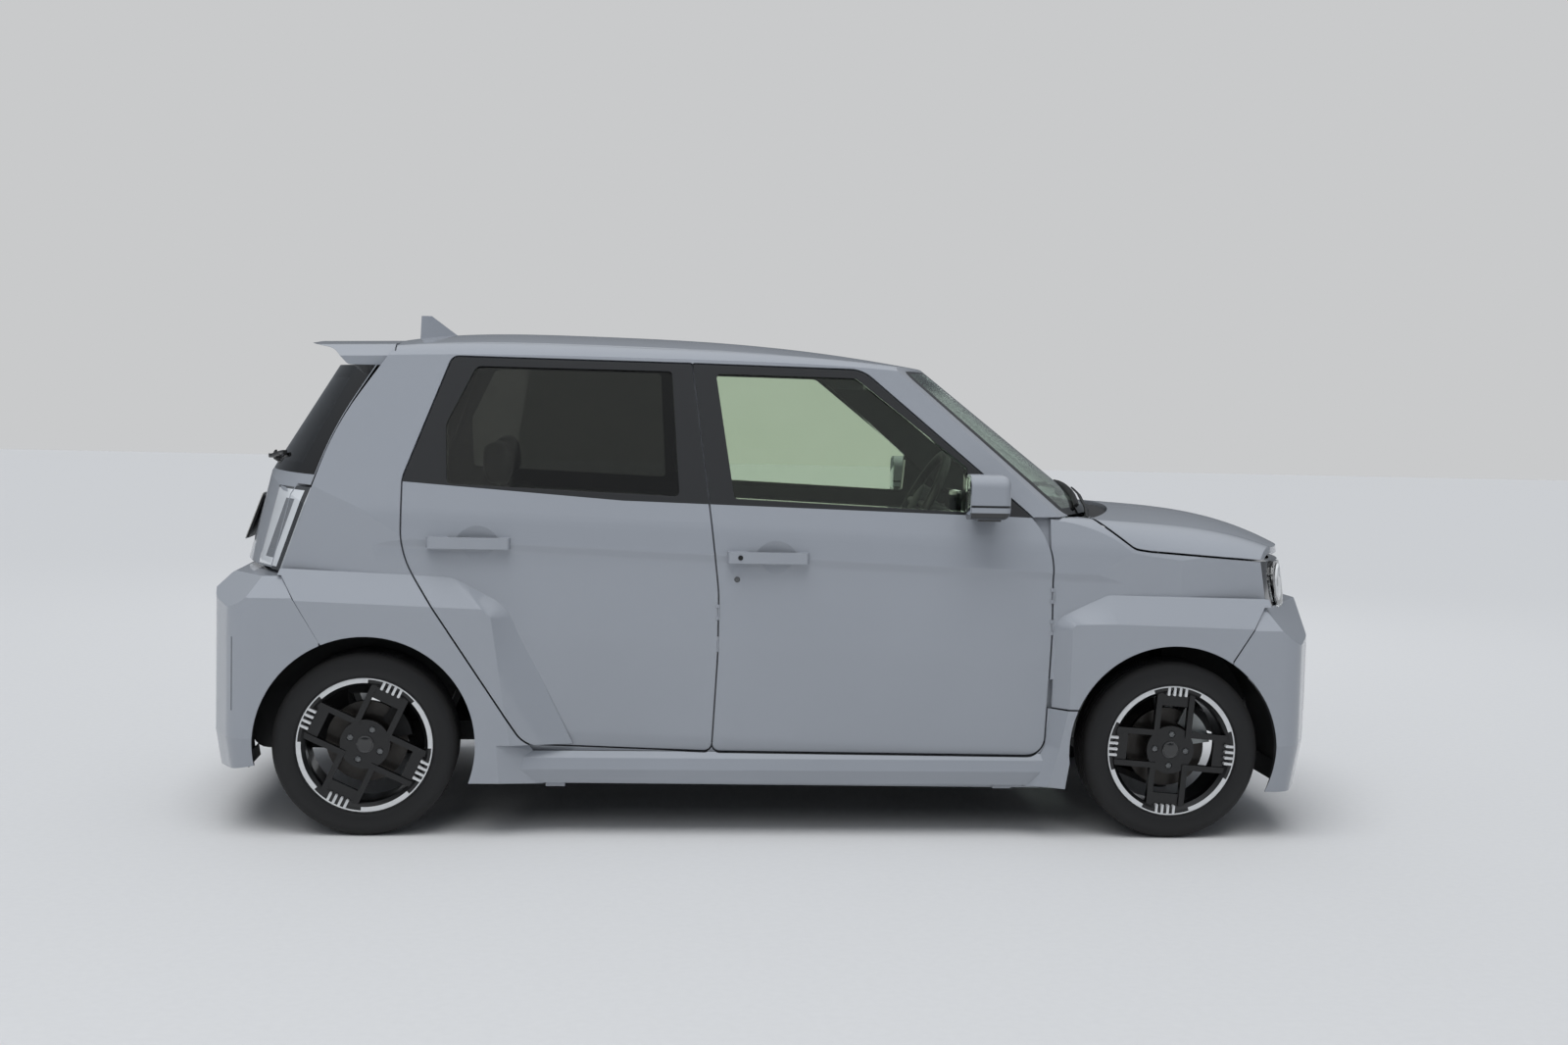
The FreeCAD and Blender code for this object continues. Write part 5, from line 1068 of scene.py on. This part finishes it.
soft = []
for stem, corners, half, rounding, cap_mm in (
    ("cushion", FRONT_CUSHION, 0.240, PAD_ROUNDING, 10), ("back", FRONT_BACK, 0.240, PAD_ROUNDING, 10),
    ("headrest", FRONT_HEAD, 0.130, 0.03, 6),
):
    pad = padding("front_seat_" + stem + "_right", corners, SEAT_Y - half, SEAT_Y + half, rounding, cap_mm)
    soft += [pad, both_sides(pad, seat_weave, "body", smooth_deg=60)]
for stem, corners in (("cushion", FRONT_CUSHION), ("back", FRONT_BACK)):
    behind = [(x + REAR_X_SHIFT, z + REAR_Z_SHIFT) for x, z in corners]
    pad = padding("rear_bench_" + stem, behind, -BENCH_HALF, BENCH_HALF, PAD_ROUNDING, 10)
    soft.append(settle(pad, seat_weave, "body", smooth_deg=60))
# The rear headrests are the front right one again, set straight back.
headrest = soft[4]
for side, move in (("right", STAY), ("left", MIRROR_Y)):
    back = Matrix.Translation((REAR_X_SHIFT, 0, 0))
    soft.append(copy_piece(headrest, "rear_headrest_" + side, move @ back, "body"))
for pad in soft:
    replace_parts(pad, "seats")
print(len(soft), "cushions,", sum(len(pad.data.polygons) for pad in soft), "faces")

# %% [markdown]
# Under the cushions are the seat frames, covered in moulded plastic, and chromed posts
# carry the headrests. They complete the seats, which stand in for the plain CAD blocks.

# %% Seat frames and posts
POST_LOW = Vector((-0.234, 0, 0.970))
POST_HIGH = Vector((-0.260, 0, 1.080))


def complete_seats(piece, finish):
    """Settles a part of the seats, with its twin on the left if it is a right-hand one."""
    if "_right" in piece.name:
        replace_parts(both_sides(piece, finish), "seats")
    else:
        settle(piece, finish)
    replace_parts(piece, "seats")


for stem, low, high in (
    ("front_seat_base_right", (0.020, -0.535, 0.276), (0.400, -0.135, 0.362)),
    ("rear_bench_base", (-0.700, -0.560, 0.276), (-0.300, 0.560, 0.385)),
):
    complete_seats(rounded_slab(stem, low, high, 2, 0.03, rim=0.006), satin_black)
for name, shift_x, y_at in (("front_headrest_post_right_1", 0.0, -0.395),
                            ("front_headrest_post_right_2", 0.0, -0.275),
                            ("rear_headrest_post_right_1", REAR_X_SHIFT, SEAT_Y)):
    line = [point + Vector((shift_x, y_at, 0)) for point in (POST_LOW, POST_HIGH)]
    complete_seats(swept(name, line, ACROSS, 0.012, 0.012, 0.004), satin_metal)
print("seat frames and posts")

# %% [markdown]
# What the windows show of the cabin: a flat display on the dashboard, the driver's binnacle,
# a blank airbag cover on the steering wheel, and the mirror under the roof.

# %% Cabin fittings
WHEEL_AT = Vector((0.486, SEAT_Y, 1.030))
COLUMN_LEAN = math.radians(28)
COLUMN = Vector((math.cos(COLUMN_LEAN), 0, -math.sin(COLUMN_LEAN)))

for name, low, high, corner, finish, slot in (
    ("dash_display", (0.655, -0.115, 0.925), (0.672, 0.115, 1.060), 0.012, piano_black, "black_gloss"),
    ("driver_binnacle", (0.700, -0.470, 0.940), (0.800, -0.200, 1.035), 0.03, satin_black, "dash_plastic"),
    ("room_mirror", (0.350, -0.115, 1.400), (0.372, 0.115, 1.455), 0.02, satin_black, "black_trim"),
):
    settle(rounded_slab(name, low, high, 0, corner), finish, "body")
airbag = turned("steering_wheel_pad", WHEEL_AT - COLUMN * 0.012, -COLUMN, 0.062, 0.030,
                ((0.004, 0.003), (0.010, 0.003), (0.020, 0.002)), 40)
settle(airbag, dash_soft, "steering_wheel")
print("cabin fittings")
